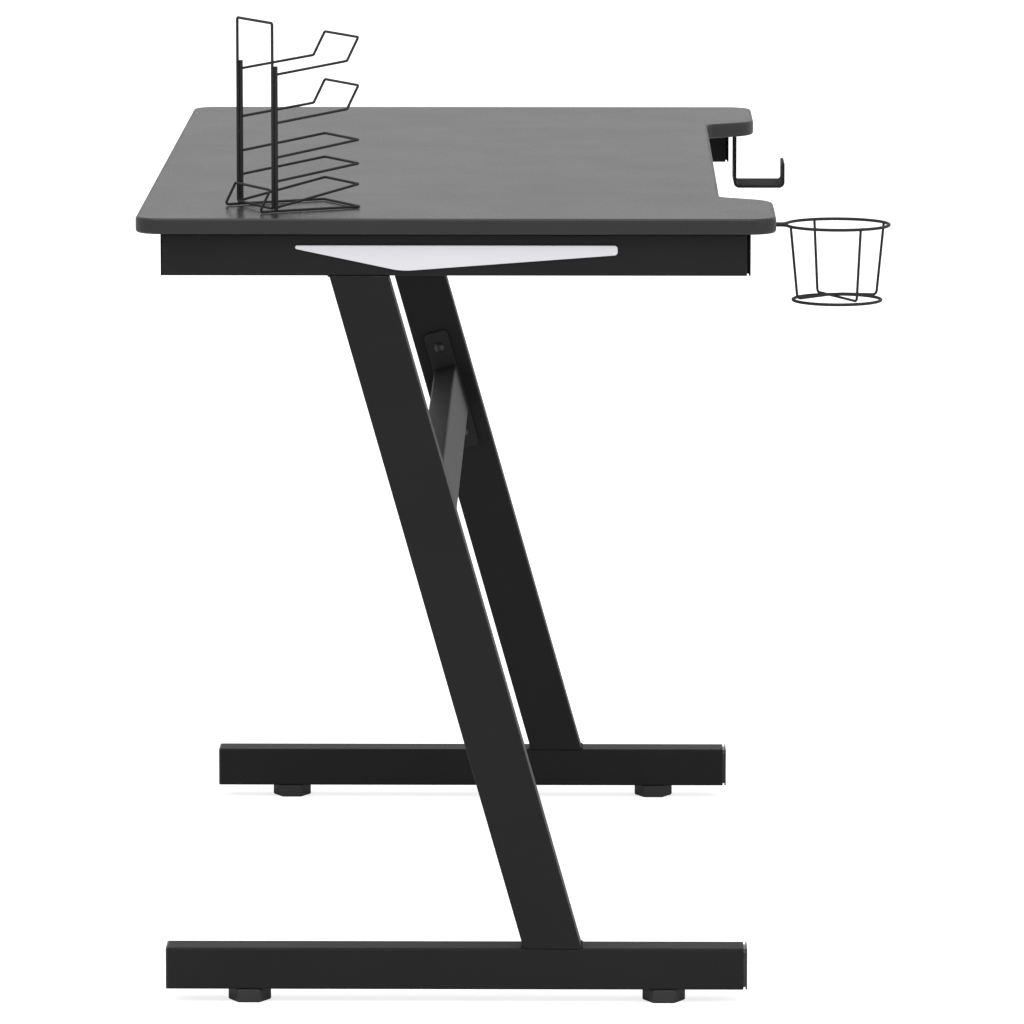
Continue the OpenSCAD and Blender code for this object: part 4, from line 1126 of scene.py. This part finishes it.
@dataclass
class WireRack(WireWork):
    """Wire rack that stands on the desktop: frame, bars, hooks, shelves and base.

    Each hook has its name and height, and each shelf its name, height and rise.
    """

    body: Body = Body.RACK
    place: Triple = (-466.0, 187.0, 750.3)
    turn: float = 28.0
    half: float = 38.0
    taper: float = 2.0
    height: float = 179.5
    wire_size: float = 2.5
    frame_wire: float = 2.7
    bar_size: float = 4.0
    bar_height: float = 137.5
    reach: float = 87.5
    tip_run: float = 12.0
    knee_rise: float = 9.5
    tip_rise: float = 31.5
    hooks: tuple[tuple[str, float], ...] = (("upper", 130.0), ("lower", 84.5))
    shelves: tuple[tuple[str, float, float], ...] = (
        ("upper", 52.0, 12.5), ("middle", 29.5, 12.5), ("lower", 5.0, 17.5),
    )
    foot_reach: float = 17.0
    foot_height: float = 21.5
    weld_depth: float = 0.2
    bar_welds: Triple = (20.0, 70.0, 120.0)

    def spot(self, x: float, y: float, z: float) -> Vector:
        """Turns a place on the rack into the shared frame."""
        turned = Matrix.Rotation(math.radians(self.turn), 3, "Z") @ Vector((x, y, z))
        return to_world(Vector(self.place) + turned)

    def loop(self, name: str, node: str, half: Sequence[Pair], taper: float, closed: bool = False) -> None:
        """Bends a wire that runs along one side of the rack, across it, and back along the other side.

        Args:
            name: Name of the piece.
            node: CAD node that it replaces.
            half: Distance along the arm and height of each corner of one side.
            taper: How far every corner after the first leans inwards.
            closed: Whether the wire closes on itself.
        """
        side = [(self.half - (taper if i else 0.0), y, z) for i, (y, z) in enumerate(half)]
        points = [self.spot(*corner) for corner in side] + [self.spot(-x, y, z) for x, y, z in reversed(side)]
        self.wire(name, node, points, self.wire_size, self.bend, closed)

    def build(self) -> None:
        """Builds every wire of the rack and its welds."""
        start = -self.bar_size / 2 - self.joint_gap
        back = self.bar_size / 2 + self.frame_wire / 2 + self.joint_gap
        foot_back = back + self.frame_wire / 2 + self.wire_size / 2 + self.joint_gap
        on_base, base_z = self.wire_size + self.joint_gap, self.wire_size / 2
        low, high, half = on_base + self.frame_wire / 2, self.height - self.frame_wire / 2, self.half
        corners = [self.spot(x, back, z) for x, z in ((-half, low), (half, low), (half, high), (-half, high))]
        self.wire("rack_frame_wire", "rack_frame", corners, self.frame_wire, self.bend, True)
        for side in Side:
            bar = [self.spot(side.value * half, 0, z) for z in (on_base, self.bar_height)]
            self.wire(f"rack_post_{side.word}", f"rack_bar_{side.word}", bar, self.bar_size, 0.0)
        for name, z in self.hooks:
            knee = (self.tip_run - self.reach, z + self.knee_rise)
            path = [(start, z), knee, (-self.reach, z + self.tip_rise)]
            self.loop(f"rack_hook_{name}_wire", f"rack_hook_{name}", path, self.taper)
        for name, z, rise in self.shelves:
            path = [(start, z), (-self.reach, z + rise)]
            self.loop(f"rack_shelf_{name}_wire", f"rack_shelf_{name}", path, self.taper)
        base = [(-self.reach, base_z), (self.foot_reach, base_z), (foot_back, self.foot_height)]
        self.loop("rack_base_wire", "rack_base", base, 0.0, True)
        welds = [(start + self.weld_depth, arm[1]) for arm in self.hooks + self.shelves]
        welds += [(self.bar_size / 2, z) for z in self.bar_welds]
        self.weld("rack_welds", [self.spot(sign * half, y, z) for y, z in welds for sign in SIGNS])


@dataclass
class Studio:
    """Plain pale floor, white surroundings, soft lamps and the camera.

    Each lamp has its name, its place, the length of its sides and its power in watts.
    """

    camera_place: Triple = (-7.366, -0.06095, 1.5059)
    camera_aim: Triple = (1.0, 0.00929, -0.15145)
    lens: float = 258.32
    lamp_aim: Triple = (0.0, 0.0, 0.4)
    floor_size: float = 60.0
    floor_glow: float = 0.7
    world_level: float = 0.78
    lamps: tuple[tuple[str, Triple, float, float], ...] = (
        ("soft_top", (-1.2, 0.3, 3.4), 3.0, 62.0), ("soft_front", (-2.4, -3.2, 1.8), 2.4, 14.0),
    )

    def build(self) -> None:
        """Builds the floor, the world, the lamps and the camera."""
        self.floor()
        self.world()
        for lamp in self.lamps:
            self.lamp(*lamp)
        self.camera()

    def floor(self) -> None:
        """Builds the floor, which is white to the camera but keeps the desk's shadow."""
        size = self.floor_size
        mesh = bpy.data.meshes.new("studio_floor")
        mesh.from_pydata([(-size, -size, 0), (size, -size, 0), (size, size, 0), (-size, size, 0)], [], [(0, 1, 2, 3)])
        floor = link("studio_floor", mesh)
        made = bpy.data.materials.new("studio_floor")
        made.use_nodes = True
        sheet = NodeSheet(made.node_tree)
        tone = sheet.noise(sheet.add("ShaderNodeTexCoord").outputs["Object"], 1.5, 3.0, 0.5)
        seen = sheet.add("ShaderNodeLightPath").outputs["Is Camera Ray"]
        sheet.fill(made.node_tree.nodes["Principled BSDF"], {
            "Base Color": sheet.blend(tone, (0.86, 0.86, 0.86, 1), (0.88, 0.88, 0.88, 1)), "Roughness": 0.9,
            "Specular IOR Level": 0.1, "Emission Color": WHITE,
            "Emission Strength": sheet.math("MULTIPLY", seen, self.floor_glow),
        })
        mesh.materials.append(made)

    def world(self) -> None:
        """Sets the surroundings: white where seen, and a soft grey light from above."""
        world = bpy.data.worlds.new("studio")
        bpy.context.scene.world = world
        world.use_nodes = True
        sheet = NodeSheet(world.node_tree)
        rays = sheet.add("ShaderNodeLightPath").outputs
        seen = sheet.math("MAXIMUM", rays["Is Camera Ray"], rays["Is Transmission Ray"])
        strength = sheet.ramp(seen, 0.0, 1.0, self.world_level, 1.0)
        sheet.fill(world.node_tree.nodes["Background"], {"Color": WHITE, "Strength": strength})

    def hang(self, name: str, data: bpy.types.ID, place: Triple, view: Vector) -> Piece:
        """Hangs a lamp or camera.

        Args:
            name: Its name.
            data: The lamp's or camera's data.
            place: Where it hangs.
            view: The direction in which it looks.

        Returns:
            The new object.
        """
        made = link(name, data)
        made.location = place
        made.rotation_euler = view.to_track_quat("-Z", "Y").to_euler()
        return made

    def lamp(self, name: str, place: Triple, size: float, power: float) -> None:
        """Adds a soft square lamp that looks at the desk.

        Args:
            name: Name of the lamp.
            place: Where it hangs.
            size: Length of its sides.
            power: Its power in watts.
        """
        data = bpy.data.lights.new(name, "AREA")
        data.size = size
        data.energy = power
        self.hang(name, data, place, Vector(self.lamp_aim) - Vector(place))

    def camera(self) -> None:
        """Sets the camera at the photo's viewing angle."""
        data = bpy.data.cameras.new("photo_camera")
        data.lens = self.lens
        data.sensor_width = 36.0
        data.clip_end = 200.0
        scene = bpy.context.scene
        scene.camera = self.hang("photo_camera", data, self.camera_place, Vector(self.camera_aim))
        scene.view_settings.view_transform = "Standard"


def main() -> None:
    """Builds and dresses the desk's sub-assemblies in order, after the studio."""
    logging.basicConfig(level=logging.INFO, format="%(name)s: %(message)s")
    Studio().build()
    tubes = [f"{part}_{side.word}" for side in Side for part in ("top_rail", "leg", "bottom_rail")]
    bar = ["crossbar", "crossbar_plate_left", "crossbar_plate_right"]
    for part in (
        Desktop({Finishes.LAMINATE: ["tabletop_board"], Finishes.ZINC: ["board_inserts", "tabletop_bolts"]}),
        SideFrames({Finishes.FRAME: tubes}),
        EndCaps(),
        Crossbar({Finishes.CROSSBAR: bar, Finishes.BLACK_STEEL: ["crossbar_bolts"], Finishes.ZINC: ["leg_nuts"]}),
        Glides({Finishes.ZINC: ["glide_nuts"]}),
        TrimPanels(),
        HeadsetHook({Finishes.HOOK: ["headset_hook"], Finishes.BLACK_STEEL: ["hook_screws"]}),
        CupHolder({Finishes.BLACK_STEEL: ["cup_screws"]}),
        WireRack(),
    ):
        part.build()
        part.dress()
        LOG.info("sub-assembly %s is ready", type(part).__name__)


if __name__ == "__main__":
    main()
